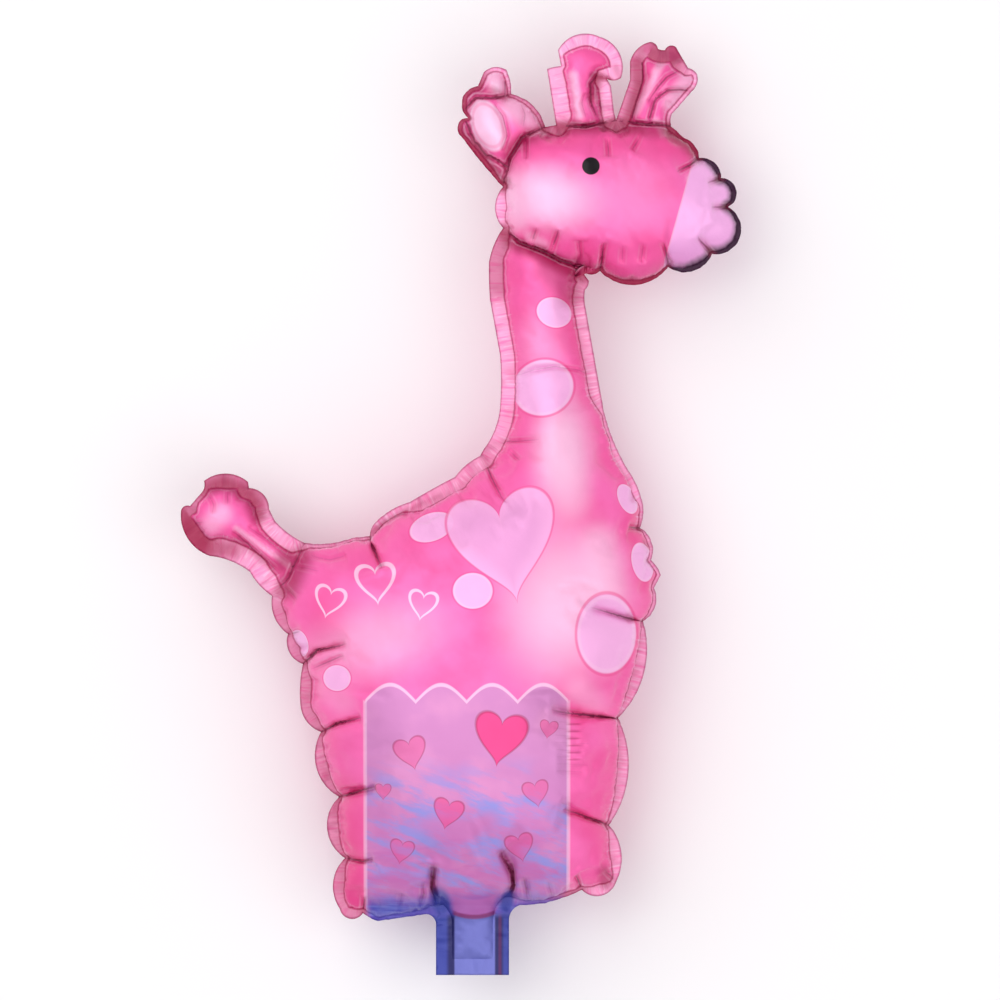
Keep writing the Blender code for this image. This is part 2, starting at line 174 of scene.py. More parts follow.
# Folds where one chamber bends away from the next, from edge to edge.
FOLDS = [
    ([(503, 228), (520, 243), (543, 252), (562, 262), (582, 268)], 0.46),
    ([(503, 187), (509, 160), (523, 138), (545, 127)], 0.38), ([(556, 125), (586, 127), (616, 120)], 0.55),
    ([(616, 120), (644, 124), (671, 126)], 0.55), ([(272, 596), (288, 578), (305, 543)], 0.28),
    ([(463, 112), (476, 97), (493, 98), (511, 95)], 0.45),
    ([(466, 122), (474, 140), (487, 156), (505, 166)], 0.4), ([(641, 50), (643, 78), (632, 118)], 0.35),
    ([(696, 90), (668, 91), (655, 100), (650, 118)], 0.35),
]
# Narrow limbs that were cut to length, so that they have little film to spare: two ends and a reach.
LIMBS = [
    ((530, 300), (552, 390), 62), ((588, 60), (588, 105), 42), ((662, 60), (645, 115), 38),
    ((490, 90), (515, 145), 38), ((225, 515), (275, 560), 50), ((472, 930), (472, 980), 60),
    ((700, 188), (698, 246), 34),
]
# Painted highlights, where the pink is paler: a path, how far from it the paint reaches and how strongly it
# is laid.
PAINTED_HIGHLIGHTS = [
    ([(573, 76), (579, 116)], 7, 0.65), ([(512, 108), (536, 120)], 18, 0.65),
    ([(492, 76), (498, 88)], 13, 0.75), ([(212, 524), (222, 514)], 15, 0.45),
    ([(236, 528), (290, 566)], 4, 0.5), ([(598, 545), (604, 590)], 26, 0.5),
    ([(686, 80), (670, 104)], 11, 0.6), ([(662, 62), (636, 112)], 6, 0.6),
    ([(606, 98), (603, 126)], 5, 0.5), ([(550, 127), (574, 125)], 4, 0.6),
    ([(656, 121), (663, 136)], 5, 0.45), ([(528, 137), (546, 133)], 3, 0.6),
    ([(495, 85), (497, 90)], 5, 0.8), ([(560, 440), (572, 500)], 24, 0.3),
    ([(512, 200), (520, 222)], 14, 0.4), ([(520, 380), (560, 374)], 7, 0.4),
    ([(580, 690), (592, 700)], 20, 0.3), ([(530, 236), (544, 244)], 7, 0.4),
    ([(688, 180), (694, 176)], 6, 0.4), ([(334, 690), (346, 700)], 18, 0.22),
]
# Painted shade, where the pink is rosier, in the same way.
ROSY_SHADE = [
    ([(516, 238), (562, 252), (610, 256), (664, 250)], 25, 0.48),
    ([(515, 150), (545, 140), (610, 138), (684, 150)], 28, 0.58),
    ([(344, 790), (350, 840), (354, 900)], 26, 0.45), ([(350, 845), (356, 905)], 20, 0.5),
    ([(604, 760), (596, 830), (604, 884)], 22, 0.35), ([(330, 560), (360, 552), (420, 528)], 22, 0.15),
    ([(236, 536), (292, 580)], 8, 0.5), ([(262, 528), (300, 556)], 7, 0.5),
    ([(520, 270), (560, 330)], 22, 0.3), ([(500, 440), (520, 480)], 24, 0.25),
    ([(570, 300), (585, 400)], 8, 0.25), ([(650, 62), (644, 110)], 12, 0.3),
    ([(588, 50), (600, 60)], 16, 0.35), ([(320, 590), (330, 620)], 22, 0.2),
    ([(632, 478), (634, 530), (646, 580)], 17, 0.55),
]
# Painted shade, crimson where shade falls in folds, in the same way.
FOLD_SHADE = [
    ([(602, 279), (640, 284), (664, 276)], 9, 0.95), ([(540, 250), (570, 262), (596, 270)], 8, 0.45),
    ([(606, 272), (634, 278), (660, 270)], 15, 0.3),
    ([(510, 150), (545, 131), (610, 127), (668, 133), (696, 156)], 12, 0.6),
    ([(668, 131), (699, 157)], 9, 0.9),
    ([(504, 233), (520, 247), (543, 256), (562, 267), (584, 276)], 11, 0.85),
    ([(548, 268), (572, 294)], 20, 0.58), ([(464, 134), (483, 159), (501, 181)], 13, 0.85),
    ([(464, 112), (476, 93), (491, 91), (504, 97)], 7, 0.58),
    ([(508, 168), (510, 150), (526, 136)], 10, 0.55), ([(597, 78), (593, 96)], 9, 0.8),
    ([(594, 100), (598, 112)], 8, 0.3), ([(636, 62), (638, 86), (628, 118)], 8, 0.65),
    ([(560, 130), (600, 128), (640, 128)], 8, 0.5), ([(286, 562), (303, 560), (290, 588)], 17, 0.74),
    ([(188, 528), (205, 548), (232, 550)], 15, 0.75),
    ([(200, 490), (225, 484), (248, 494), (258, 516)], 12, 0.75), ([(240, 540), (272, 566)], 7, 0.35),
    ([(346, 740), (352, 800), (350, 860), (354, 900)], 22, 0.12), ([(592, 76), (610, 79)], 4, 0.9),
    ([(472, 146), (487, 166), (502, 186)], 7, 0.6), ([(616, 68), (621, 80)], 5, 0.35),
    ([(434, 866), (433, 886), (440, 906)], 6, 0.5), ([(501, 850), (513, 878), (505, 906)], 6, 0.5),
    ([(373, 532), (388, 522), (406, 513)], 4, 0.38), ([(406, 511), (440, 496)], 4, 0.3),
    ([(602, 870), (606, 884)], 9, 0.6),
]

# Lengths in metres that the making goes by: the step of a sampled line, over what length the weld's width and
# its ink change along the edge, and how far inside the seam the two fine rows of points lie.
LINE_STEP = 0.001
WELD_BLEND = 0.004
INK_BLEND = 0.008
SEAM_ROWS = (0.0003, 0.0008)
# A point is left out where it lies closer to a line than this share of the facets there.
LEAST_GAP = 0.55
# How far a crease is felt, in crease widths, and where its lips stand, in fold widths.
CREASE_REACH = 6
LIP_PLACE = 2.4
LIP_HEIGHT = 0.35
# How far in from the weld a crease has its full depth, and how near to its line the film is held by it.
CREASE_START = 0.004
CREASE_GRIP = 0.0005
# A point this close to a line lies on it.
ON_LINE = 1e-6
# The air fills the film at this many times its size, where the cloth solver is steady, in this many frames.
SIM_SCALE = 20.0
SIM_FRAMES = 22
# Smaller than any real length or area here, so that nothing is divided by nought.
TINY = 1e-15

# Soft round lights: where each hangs, how wide it is in metres and its power in watts.
LIGHTS = [
    ("key", (-0.9, 0.9, 1.7), 2.2, 15), ("overhead", (-0.6, -0.1, 2.3), 2.0, 12),
    ("fill", (1.0, -0.6, 1.7), 2.2, 13),
]
CAMERA_LENS = 400
FLOOR_SIZE = 8


def srgb(red, green, blue):
    """A screen colour out of 255 as the scene-linear colour that Blender's sockets take."""
    parts = [channel / 255 for channel in (red, green, blue)]
    linear = [part / 12.92 if part <= 0.04045 else ((part + 0.055) / 1.055) ** 2.4 for part in parts]
    return (*linear, 1.0)


def length(name, description, default):
    return FloatProperty(
        name=name, description=description, default=default, min=0, unit="LENGTH", precision=5
    )


def share(name, description, default):
    return FloatProperty(name=name, description=description, default=default, min=0, max=1, subtype="FACTOR")


def colour(name, description, default):
    return FloatVectorProperty(
        name=name, description=description, default=default, size=4, min=0, max=1, subtype="COLOR"
    )


class BalloonSizes(bpy.types.PropertyGroup):
    figure_height: length("Figure height", "From the hem to the top of the horns", 0.354)
    tab_width: length("Tab width", "Across the filling tab", 0.0292)
    tab_length: length("Tab length", "From the hem to the tab's end", 0.028)
    tab_weld: length("Tab weld", "Width of the weld down each side of the tab", 0.0064)
    broad_weld: length("Neck weld", "Width of the weld along the back and nape", 0.0058)
    tail_weld: length("Tail weld", "Width of the weld under the tail", 0.0076)
    tuft_weld: length("Tuft weld", "Width of the weld round the tail's tuft", 0.0060)
    flap_weld: length("Flap weld", "Width of the flat flap beside the front horn", 0.0066)
    horn_weld: length("Horn weld", "Width of the weld round the horns", 0.0050)
    flank_weld: length("Flank weld", "Width of the weld in the middle of each scallop", 0.0048)
    narrow_weld: length("Narrow weld", "Width of the weld at the back's start and the neck's foot", 0.0031)
    face_weld: length("Face weld", "Width of the weld round the face and ear", 0.0018)
    weld_thickness: length("Weld thickness", "The two films together, at the weld", 0.0003)
    flat_spot: length("Flat spot", "How far the back is pressed in by what it lies on", 0.0040)
    shallowing: length("Shallowing", "Rise at which a chamber is held to half", 0.24)
    throat_above: length("Throat above hem", "Where the body starts to narrow to the tab", 0.012)
    throat_length: length("Throat length", "Over what length the body flattens into the tab", 0.020)
    tab_fullness: share("Tab fullness", "The tab's rise as a share of a full tube's", 0.30)
    crease_width: length("Crease width", "Over what width a crease's hollow falls away", 0.0026)
    fold_width: length("Fold width", "Half the width of the sharp line in a crease", 0.0007)
    fold_depth: length("Fold depth", "Depth of the sharp line in the deepest crease", 0.0011)
    filling_facet: length("Filling facet", "Side of the film's facets while air fills it", 0.0017)
    film_facet: length("Film facet", "Side of the finished film's facets", 0.0015)
    fine_facet: length("Fine facet", "Side of the facets along welds and creases", 0.0009)
    fine_reach: length("Fine reach", "How far from welds and creases the facets are fine", 0.0035)
    spare_film: share("Spare film", "Extra film at the weld, which puckers", 0.10)
    spare_reach: length("Spare reach", "How far in from the weld the spare film reaches", 0.012)
    ruffle_height: length("Ruffle height", "How far the weld's edge waves up and down", 0.0008)
    ruffle_length: length("Ruffle length", "From one wave of the weld to the next", 0.0085)
    crimp_depth: length("Crimp depth", "Depth of the fine crimps across the weld", 0.00016)
    crimp_length: length("Crimp length", "From one crimp to the next", 0.0024)
    crimp_reach: length("Crimp reach", "How far into the film the crimps run", 0.0060)
    seed: IntProperty(name="Seed", description="Picks how facets, ruffles and crimps lie", default=7, min=0)


class BalloonColours(bpy.types.PropertyGroup):
    pink: colour("Pink", "The body's ink", srgb(255, 112, 186))
    # Rose is partly the print's deeper pink and partly painted shade towards the edges and in the rosy
    # patches.
    rose: colour("Rose", "Deeper ink towards the edges", srgb(240, 66, 142))
    # Blush is partly print and partly painted highlight: glows, pale patches, crease lips and crimp glints.
    blush: colour("Blush", "Pale glow in the middle of the head and body", srgb(255, 202, 234))
    margin: colour("Margin", "The weld's paler pink", srgb(255, 172, 216))
    # Crimson is mostly painted shade, on dark welds, rim, seam, folds and creases; the panel's heart outlines
    # use it as print.
    crimson: colour("Crimson", "The dark folds of ear, brow and tail", srgb(154, 8, 66))
    shade: colour("Shade", "The bottom of the deepest folds", srgb(112, 10, 56))
    spot: colour("Spot", "The giraffe's pale spots", srgb(251, 180, 232))
    muzzle: colour("Muzzle", "The pale muzzle", srgb(251, 180, 236))
    # Plum is painted shade at the muzzle's rim.
    plum: colour("Plum", "The muzzle's dark rim", srgb(56, 6, 50))
    lilac: colour("Lilac", "The panel's upper part", srgb(212, 136, 196))
    mauve: colour("Mauve", "The panel's lower part", srgb(200, 108, 182))
    sky: colour("Sky", "Soft blue ribbons", srgb(142, 150, 228))
    hem: colour("Hem", "The panel's blue hem", srgb(56, 66, 176))
    tab: colour("Tab", "The middle of the tab", srgb(112, 116, 196))
    tab_side: colour("Tab side", "The tab's welded sides", srgb(58, 68, 160))
    tab_line: colour("Tab line", "The dark line inside each side of the tab", srgb(26, 18, 80))
    ink: colour("Ink", "The eye", srgb(12, 4, 12))
    floor: colour("Floor", "The studio floor", srgb(248, 247, 248))


def board_unit(sizes):
    return sizes.figure_height / BOARD_FIGURE_HEIGHT


def weld_level(sizes):
    """How high the weld lies above the floor."""
    return (CAD_HIGH[2] - CAD_LOW[2] - sizes.flat_spot) / 2 + CAD_LOW[2]


def tab_sides(sizes):
    """The tab's left and right sides on the board."""
    half_tab = sizes.tab_width / board_unit(sizes) / 2
    return BOARD_TAB_X - half_tab, BOARD_TAB_X + half_tab


def arc_points(start, end, stand_out, step):
    """Points from start up to but not including end, along an arc that stands out from their chord."""
    start, end = np.array(start, float), np.array(end, float)
    chord = np.linalg.norm(end - start)
    along = (end - start) / chord
    outward = np.array((along[1], -along[0]))
    if abs(stand_out) < 1e-9:
        count = max(1, round(chord / step))
        return [start + (end - start) * i / count for i in range(count)]
    radius = (chord * chord / 4 + stand_out * stand_out) / (2 * abs(stand_out))
    half_angle = 2 * math.atan(2 * abs(stand_out) / chord)
    centre = (start + end) / 2 + outward * math.copysign(radius - abs(stand_out), -stand_out)
    count = max(2, round(2 * half_angle * radius / step))
    side = outward * math.copysign(radius, stand_out)
    turns = [-half_angle + 2 * half_angle * i / count for i in range(count)]
    return [centre + side * math.cos(t) + along * radius * math.sin(t) for t in turns]


def edge_loop(sizes, step):
    """The balloon's edge in metres, y up, with the weld's width and how dark it is at each point."""
    unit = board_unit(sizes)
    left, right = tab_sides(sizes)
    shoulder = BOARD_TAB_SHOULDER
    end = BOARD_HEM_Y + sizes.tab_length / unit
    tab = [
        (right + 1.2 * shoulder, BOARD_HEM_Y, -3, 0.5), (right, BOARD_HEM_Y + 1.7 * shoulder, 0, 1),
        (right, end, 0, 1), (left, end, 0, 1), (left, BOARD_HEM_Y + 2 * shoulder, -2, 1),
    ]
    root = (left - shoulder, BOARD_HEM_Y + shoulder, 0, 1)
    rows = [(*knot, getattr(sizes, weld), dark) for section, weld, dark in EDGE for knot in section]
    rows += [(*knot, sizes.tab_weld, 0.0) for knot in tab] + [(*root, sizes.face_weld, 0.6)]
    points, welds, darks = [], [], []
    for row, following in zip(rows, rows[1:] + rows[:1]):
        x, y, stand_out, share_here, weld, dark = row
        run = arc_points((x, y), following[:2], stand_out, step / unit)
        t = np.arange(len(run)) / len(run)
        shares = share_here + (following[3] - share_here) * t
        points += run
        welds += list(weld * (shares + (1 - shares) * np.sin(np.pi * t)))
        darks += [dark] * len(run)
    widths = rolling_mean(welds, WELD_BLEND / step)
    return np.array(points) * (unit, -unit), widths, rolling_mean(darks, INK_BLEND / step)


def rolling_mean(values, window):
    """The values of a closed loop, each averaged with its neighbours."""
    half = round(window / 2)
    wrapped = np.concatenate([values[-half:], values, values[:half]])
    return np.convolve(wrapped, np.ones(2 * half + 1) / (2 * half + 1), "valid")


def resampled(path, step, closed=False):
    """The path again, with its points about a step apart."""
    whole = np.vstack([path, path[:1]]) if closed else np.array(path, float)
    run = np.concatenate([[0], np.cumsum(np.linalg.norm(np.diff(whole, axis=0), axis=1))])
    marks = np.linspace(0, run[-1], max(2, round(run[-1] / step)) + 1)
    points = np.column_stack([np.interp(marks, run, whole[:, axis]) for axis in (0, 1)])
    return points[:-1] if closed else points


def nearest_of(samples, points):
    """For each point, the nearest sample and its distance."""
    tree = KDTree(len(samples))
    for index, (x, y) in enumerate(samples):
        tree.insert((x, y, 0), index)
    tree.balance()
    found = [tree.find((x, y, 0)) for x, y in points]
    return np.array([hit[1] for hit in found], int), np.array([hit[2] for hit in found])


def distance_to_path(points, path, closed=False, reach=None):
    """Each point's distance to a path of close points, and how far along it the nearest place is."""
    if reach is not None:
        best = np.full(len(points), 1.0)
        along = np.zeros(len(points))
        low, high = path.min(axis=0) - reach, path.max(axis=0) + reach
        close = ((points > low) & (points < high)).all(axis=1)
        if close.any():
            best[close], along[close] = distance_to_path(points[close], path, closed)
        return best, along
    near, _ = nearest_of(path, points)
    spans = np.roll(path, -1, axis=0) - path
    run = np.concatenate([[0], np.cumsum(np.linalg.norm(spans, axis=1))])
    best = np.full(len(points), np.inf)
    along = np.zeros(len(points))
    for index in ((near - 1) % len(path), near):
        if not closed:
            index = np.clip(index, 0, len(path) - 2)
        span = spans[index]
        size = np.maximum((span**2).sum(axis=1), 1e-18)
        t = np.clip(((points - path[index]) * span).sum(axis=1) / size, 0, 1)
        away = np.hypot(*(points - path[index] - t[:, None] * span).T)
        closer = away < best
        best[closer] = away[closer]
        along[closer] = (run[index] + t * np.sqrt(size))[closer]
    return best, along


def moved_inward(loop, widths):
    """A clockwise loop moved inwards by its widths, with a fan of points at each corner."""
    spans = np.roll(loop, -1, axis=0) - loop
    spans /= np.linalg.norm(spans, axis=1)[:, None]
    after = np.column_stack([spans[:, 1], -spans[:, 0]])
    before = np.roll(after, 1, axis=0)
    fans = []
    for t in (0.0, 0.25, 0.5, 0.75, 1.0):
        turned = before * (1 - t) + after * t
        fans.append(loop + turned / np.linalg.norm(turned, axis=1)[:, None] * widths[:, None])
    moved = np.stack(fans, axis=1).reshape(-1, 2)
    clear, _ = distance_to_path(moved, loop, closed=True)
    moved = moved[clear >= 0.97 * np.repeat(widths, len(fans))]
    clear_of_all = []
    for some in np.array_split(moved, 1 + len(moved) // 500):
        gap = np.hypot(some[:, :1] - loop[:, 0], some[:, 1:] - loop[:, 1])
        clear_of_all.append((gap >= 0.9 * widths).all(axis=1))
    return moved[np.concatenate(clear_of_all)]


def inside(points, loop):
    """Which points lie inside a closed loop, by counting crossings."""
    order = np.argsort(points[:, 1])
    x, y = points[order].T
    crossed = np.zeros(len(points), bool)
    for (x0, y0), (x1, y1) in zip(loop, np.roll(loop, -1, axis=0)):
        if y0 != y1:
            level = slice(*np.searchsorted(y, sorted((y0, y1)), "right"))
            crossed[level] ^= x[level] < x0 + (y[level] - y0) * (x1 - x0) / (y1 - y0)
    found = np.empty_like(crossed)
    found[order] = crossed
    return found


def honeycomb(low, high, step, seed):
    """Points in staggered rows, each a little off its place."""
    rows = np.arange(low[1], high[1], step * math.sqrt(3) / 2)
    columns = np.arange(low[0], high[0], step)
    grid = np.array([(x + (row % 2) * step / 2, y) for row, y in enumerate(rows) for x in columns])
    return grid + np.random.default_rng(seed).normal(0, 0.13 * step, grid.shape)


def smooth_step(values):
    values = np.clip(values, 0, 1)
    return values * values * (3 - 2 * values)


def soap_skin(points, triangles, free):
    """The rise of a skin under even pressure, held at nought off the free points, by conjugate gradients."""
    corners = points[triangles]
    starts, ends, weights = [], [], []
    for k in range(3):
        u = corners[:, (k + 1) % 3] - corners[:, k]
        v = corners[:, (k + 2) % 3] - corners[:, k]
        cross = np.abs(u[:, 0] * v[:, 1] - u[:, 1] * v[:, 0])
        weights.append((u * v).sum(axis=1) / np.maximum(cross, 1e-14) / 2)
        starts.append(triangles[:, (k + 1) % 3])
        ends.append(triangles[:, (k + 2) % 3])
    start, end, weight = np.concatenate(starts), np.concatenate(ends), np.concatenate(weights)
    size = len(points)
    areas = np.bincount(triangles.ravel(), np.repeat(cross / 6, 3), size)
    diagonal = np.bincount(start, weight, size) + np.bincount(end, weight, size)

    def pulled(values):
        across = np.bincount(start, weight * values[end], size)
        across += np.bincount(end, weight * values[start], size)
        return (diagonal * values - across) * free

    rise = np.zeros(size)
    left = areas * free
    search = left.copy()
    strength = left @ left
    while strength > 1e-18 * (areas @ areas):
        pull = pulled(search)
        move = strength / (search @ pull)
        rise += move * search
        left -= move * pull
        was, strength = strength, left @ left
        search = left + search * strength / was
    return rise


class Film:
    """One film of the balloon laid flat: its points and facets, and where each point lies by the weld."""

    def __init__(self, sizes, facet, fine_facet=None):
        self.sizes = sizes
        self.unit = board_unit(sizes)
        line_facet = fine_facet or facet
        edge, welds, darks = edge_loop(sizes, 0.8 * line_facet)
        self.middle = (edge.min(axis=0) + edge.max(axis=0)) / 2
        self.edge = edge - self.middle
        self.seam = resampled(moved_inward(self.edge, welds), line_facet, closed=True)
        self.creases = [self.crease(knots, depth, fade) for knots, depth, fade in
                        [(*row, "end") for row in PINCH_CREASES] + [(*row, "both") for row in LOOSE_CREASES]
                        + [(*row, "none") for row in FOLDS]]
        self.triangulate(facet, fine_facet)
        clear, self.along = distance_to_path(self.points, self.seam, closed=True)
        filled = inside(self.points, self.seam)
        self.free = filled & (clear > ON_LINE)
        self.away = np.where(filled, clear, -clear)
        self.rim, along_edge = distance_to_path(self.points, self.edge, closed=True)
        spans = np.roll(self.edge, -1, axis=0) - self.edge
        run = np.concatenate([[0], np.cumsum(np.linalg.norm(spans, axis=1))])
        self.dark = np.interp(along_edge, run, np.append(darks, darks[0]))

    def metres(self, board_points):
        return np.array(board_points, float) * (self.unit, -self.unit) - self.middle

    def crease(self, knots, depth, fade):
        return resampled(self.metres(knots), LINE_STEP), depth, fade

    def triangulate(self, facet, fine_facet):
        """Fills the edge with facets, finer along the weld and creases, which are lines of the mesh."""
        low, high = self.edge.min(axis=0), self.edge.max(axis=0)
        line_facet = fine_facet or facet
        lines = np.vstack([self.edge, self.seam] + [path for path, _, _ in self.creases])
        rows = np.empty((0, 2))
        if fine_facet:
            for offset in SEAM_ROWS:
                row = moved_inward(self.seam, np.full(len(self.seam), offset))
                rows = np.vstack([rows, resampled(row, line_facet, closed=True)])
        fill = []
        for step, fine in ((facet, False), (fine_facet, True)):
            if step is None:
                continue
            grid = honeycomb(low, high, step, self.sizes.seed)
            grid = grid[inside(grid, self.edge)]
            _, nearest = nearest_of(lines, grid)
            keep = nearest > LEAST_GAP * line_facet
            if fine_facet:
                keep &= (nearest < self.sizes.fine_reach) == fine
                keep &= nearest_of(rows, grid)[1] > LEAST_GAP * line_facet
            fill.append(grid[keep])
        points = [*self.edge, *self.seam, *rows, *np.vstack(fill)]
        first = len(self.edge)
        count = len(self.seam)
        links = [(first + i, first + (i + 1) % count) for i in range(count)]
        for path, _, _ in self.creases:
            line = resampled(path, line_facet)
            line = line[inside(line, self.seam)]
            if len(line) < 2:
                continue
            clear, _ = distance_to_path(line, self.seam, closed=True)
            line = line[clear > 0.4 * line_facet]
            points += list(line)
        found = delaunay_2d_cdt([tuple(p) for p in points], links, [list(range(first))], 1, 1e-8)
        self.points = np.array([tuple(v) for v in found[0]])
        triangles = np.array(found[2])
        a, b, c = (self.points[triangles[:, k]] for k in range(3))
        cross = (b - a)[:, 0] * (c - a)[:, 1] - (b - a)[:, 1] * (c - a)[:, 0]
        triangles[cross < 0] = triangles[cross < 0][:, ::-1]
        self.triangles = triangles

    def crease_share(self, path, depth, fade):
        """How far each point is from a crease, and how much of its depth is left there."""
        away, along = distance_to_path(self.points, path, reach=CREASE_REACH * self.sizes.crease_width)
        t = np.clip(along / np.linalg.norm(np.diff(path, axis=0), axis=1).sum(), 0, 1)
        left = {"end": np.sqrt(1 - t), "both": np.sqrt(np.sin(np.pi * t)), "none": 1.0}[fade]
        return away, depth * left

    def rise(self):
        """How far each point rises above the weld when the film is filled."""
        sizes = self.sizes
        rise = np.sqrt(2 * np.maximum(soap_skin(self.points, self.triangles, self.free.astype(float)), 0))
        rise /= 1 + rise / sizes.shallowing
        throat_top = sizes.throat_above - BOARD_HEM_Y * self.unit - self.middle[1]
        down_throat = smooth_step((throat_top - self.points[:, 1]) / sizes.throat_length)
        rise *= 1 - (1 - sizes.tab_fullness) * down_throat
        for crease in self.creases:
            away, depth = self.crease_share(*crease)
            rise *= 1 - depth * np.exp(-away / sizes.crease_width)
        return rise * self.free

    def held(self):
        """How firmly each point is held while the film fills: the weld fully, the creases in part."""
        held = np.where(self.free, 0.0, 1.0)
        for crease in self.creases:
            away, depth = self.crease_share(*crease)
            held = np.maximum(held, np.clip(2.2 * depth - 0.2, 0, 0.9) * (away < CREASE_GRIP))
        return held

    def spare(self):
        """How much spare film each point has, from 0 to 1: most at the weld, and little in the limbs."""
        limb = np.zeros(len(self.points))
        for start, end, reach in LIMBS:
            away, _ = distance_to_path(self.points, resampled(self.metres([start, end]), LINE_STEP))
            limb = np.maximum(limb, smooth_step(1.4 - away / (reach * self.unit)))
        near_weld = 0.07 + 0.93 * np.exp(-np.abs(self.away) / self.sizes.spare_reach)
        return (1 - 0.85 * limb) * near_weld

    def fold(self):
        """The sharp line in each crease, the lips beside it, and how far and deep the nearest crease is."""
        width = self.sizes.fold_width
        line, lips, depths = (np.zeros(len(self.points)) for _ in range(3))
        nearest = np.full(len(self.points), CREASE_REACH * self.sizes.crease_width)
        for crease in self.creases:
            away, depth = self.crease_share(*crease)
            share_here = np.broadcast_to(depth / 0.5, away.shape)
            line = np.maximum(line, share_here * np.exp(-((away / width) ** 2)))
            lips = np.maximum(lips, share_here * np.exp(-(((away - LIP_PLACE * width) / width) ** 2)))
            closer = away < nearest
            nearest[closer] = away[closer]
            depths[closer] = share_here[closer]
        return line, lips, nearest, depths

    def laid_painted_light(self, patches):
        """How strongly a list of soft patches of painted light (shade in folds and rosy patches, highlight in
        pale ones) is laid at each point.
        """
        deep = np.zeros(len(self.points))
        for knots, reach, amount in patches:
            path = resampled(self.metres(knots), LINE_STEP)
            away, _ = distance_to_path(self.points, path, reach=1.2 * reach * self.unit)
            patch = amount * smooth_step(1.15 - away / (reach * self.unit))
            deep = 1 - (1 - deep) * (1 - patch)
        return deep


def filled_film(film, rise):
    """The film's points after air pressure has tightened it: cloth that is held at the weld."""
    mesh = bpy.data.meshes.new("film_to_fill")
    start = np.column_stack([film.points, rise])
    mesh.from_pydata((start * SIM_SCALE).tolist(), [], film.triangles.tolist())
    sheet = bpy.data.objects.new("film_to_fill", mesh)
    bpy.context.scene.collection.objects.link(sheet)
    held = sheet.vertex_groups.new(name="held")
    taut = sheet.vertex_groups.new(name="taut")
    for index, (grip, slack) in enumerate(zip(film.held(), film.spare())):
        if grip > 0:
            held.add([index], float(grip), "REPLACE")
        taut.add([index], float(1 - slack), "REPLACE")
    cloth = sheet.modifiers.new("air", "CLOTH")
    settings = cloth.settings
    settings.quality = 6
    settings.mass = 0.05
    settings.tension_stiffness = 200
    settings.compression_stiffness = 200
    settings.shear_stiffness = 100
    settings.bending_stiffness = 0.03
    settings.tension_damping = 5
    settings.compression_damping = 5
    settings.shear_damping = 5
    settings.bending_damping = 0.5
    settings.air_damping = 3
    settings.vertex_group_mass = held.name
    settings.pin_stiffness = 1
    settings.use_pressure = True
    settings.uniform_pressure_force = 5
    settings.vertex_group_shrink = taut.name
    settings.shrink_min = -film.sizes.spare_film
    settings.shrink_max = 0
    settings.effector_weights.gravity = 0
    cloth.collision_settings.use_collision = False
    cloth.point_cache.frame_start = 1
    cloth.point_cache.frame_end = SIM_FRAMES
    scene = bpy.context.scene
    scene.frame_start, scene.frame_end = 1, SIM_FRAMES
    for step in range(1, SIM_FRAMES + 1):
        scene.frame_set(step)
    settled = sheet.evaluated_get(bpy.context.evaluated_depsgraph_get()).data
    places = np.empty(len(settled.vertices) * 3)
    settled.vertices.foreach_get("co", places)
    bpy.data.objects.remove(sheet)
    bpy.data.meshes.remove(mesh)
    scene.frame_set(1)
    places = places.reshape(-1, 3) / SIM_SCALE
    places[~film.free] = start[~film.free]
    places[:, 2] *= rise.max() / places[:, 2].max()
    return places


def vertex_normals(places, triangles):
    a, b, c = (places[triangles[:, k]] for k in range(3))
    cross = np.cross(b - a, c - a)
    cross /= np.maximum(np.linalg.norm(cross, axis=1), TINY)[:, None]
    normals = np.zeros_like(places)
    for k in range(3):
        u = places[triangles[:, (k + 1) % 3]] - places[triangles[:, k]]
        v = places[triangles[:, (k + 2) % 3]] - places[triangles[:, k]]
        lengths = np.linalg.norm(u, axis=1) * np.linalg.norm(v, axis=1)
        cosine = (u * v).sum(axis=1) / np.maximum(lengths, TINY)
        angle = np.arccos(np.clip(cosine, -1, 1))
        np.add.at(normals, triangles[:, k], cross * angle[:, None])
    return normals / np.maximum(np.linalg.norm(normals, axis=1), TINY)[:, None]


def carried_over(film, rough, places):
    """The film's points on a smooth patch over each facet of the rough film that air has filled."""
    flat = np.column_stack([rough.points, np.zeros(len(rough.points))])
    swollen = rough.triangles[rough.free[rough.triangles].any(axis=1)]
    tree = BVHTree.FromPolygons(flat.tolist(), swollen.tolist())
    home = np.array([tree.find_nearest((x, y, 0))[2] for x, y in film.points])
    facet = swollen[home]
    a, b, c = (rough.points[facet[:, k]] for k in range(3))
    area = np.cross(b - a, c - a)
    second = np.cross(film.points - a, c - a) / area
    third = np.cross(b - a, film.points - a) / area
    weights = np.clip(np.column_stack([1 - second - third, second, third]), 0, None)
    weights /= weights.sum(axis=1)[:, None]
    normals = vertex_normals(places, swollen)
    corner = [places[facet[:, k]] for k in range(3)]
    normal = [normals[facet[:, k]] for k in range(3)]
    u, v, w = (weights[:, k:k + 1] for k in range(3))
    share = [u, v, w]
    found = sum(share[k] ** 3 * corner[k] for k in range(3))
    middle = -sum(corner) / 6
    for i in range(3):
        for j in range(3):
            if i == j:
                continue
            lean = ((corner[j] - corner[i]) * normal[i]).sum(axis=1)[:, None]
            handle = (2 * corner[i] + corner[j] - lean * normal[i]) / 3
            found += 3 * share[i] ** 2 * share[j] * handle
            middle += handle / 4
    found += 6 * u * v * w * middle
    found[~film.free] = np.column_stack([film.points, np.zeros(len(film.points))])[~film.free]
    found[:, 2] = np.maximum(found[:, 2], 0)
    return found


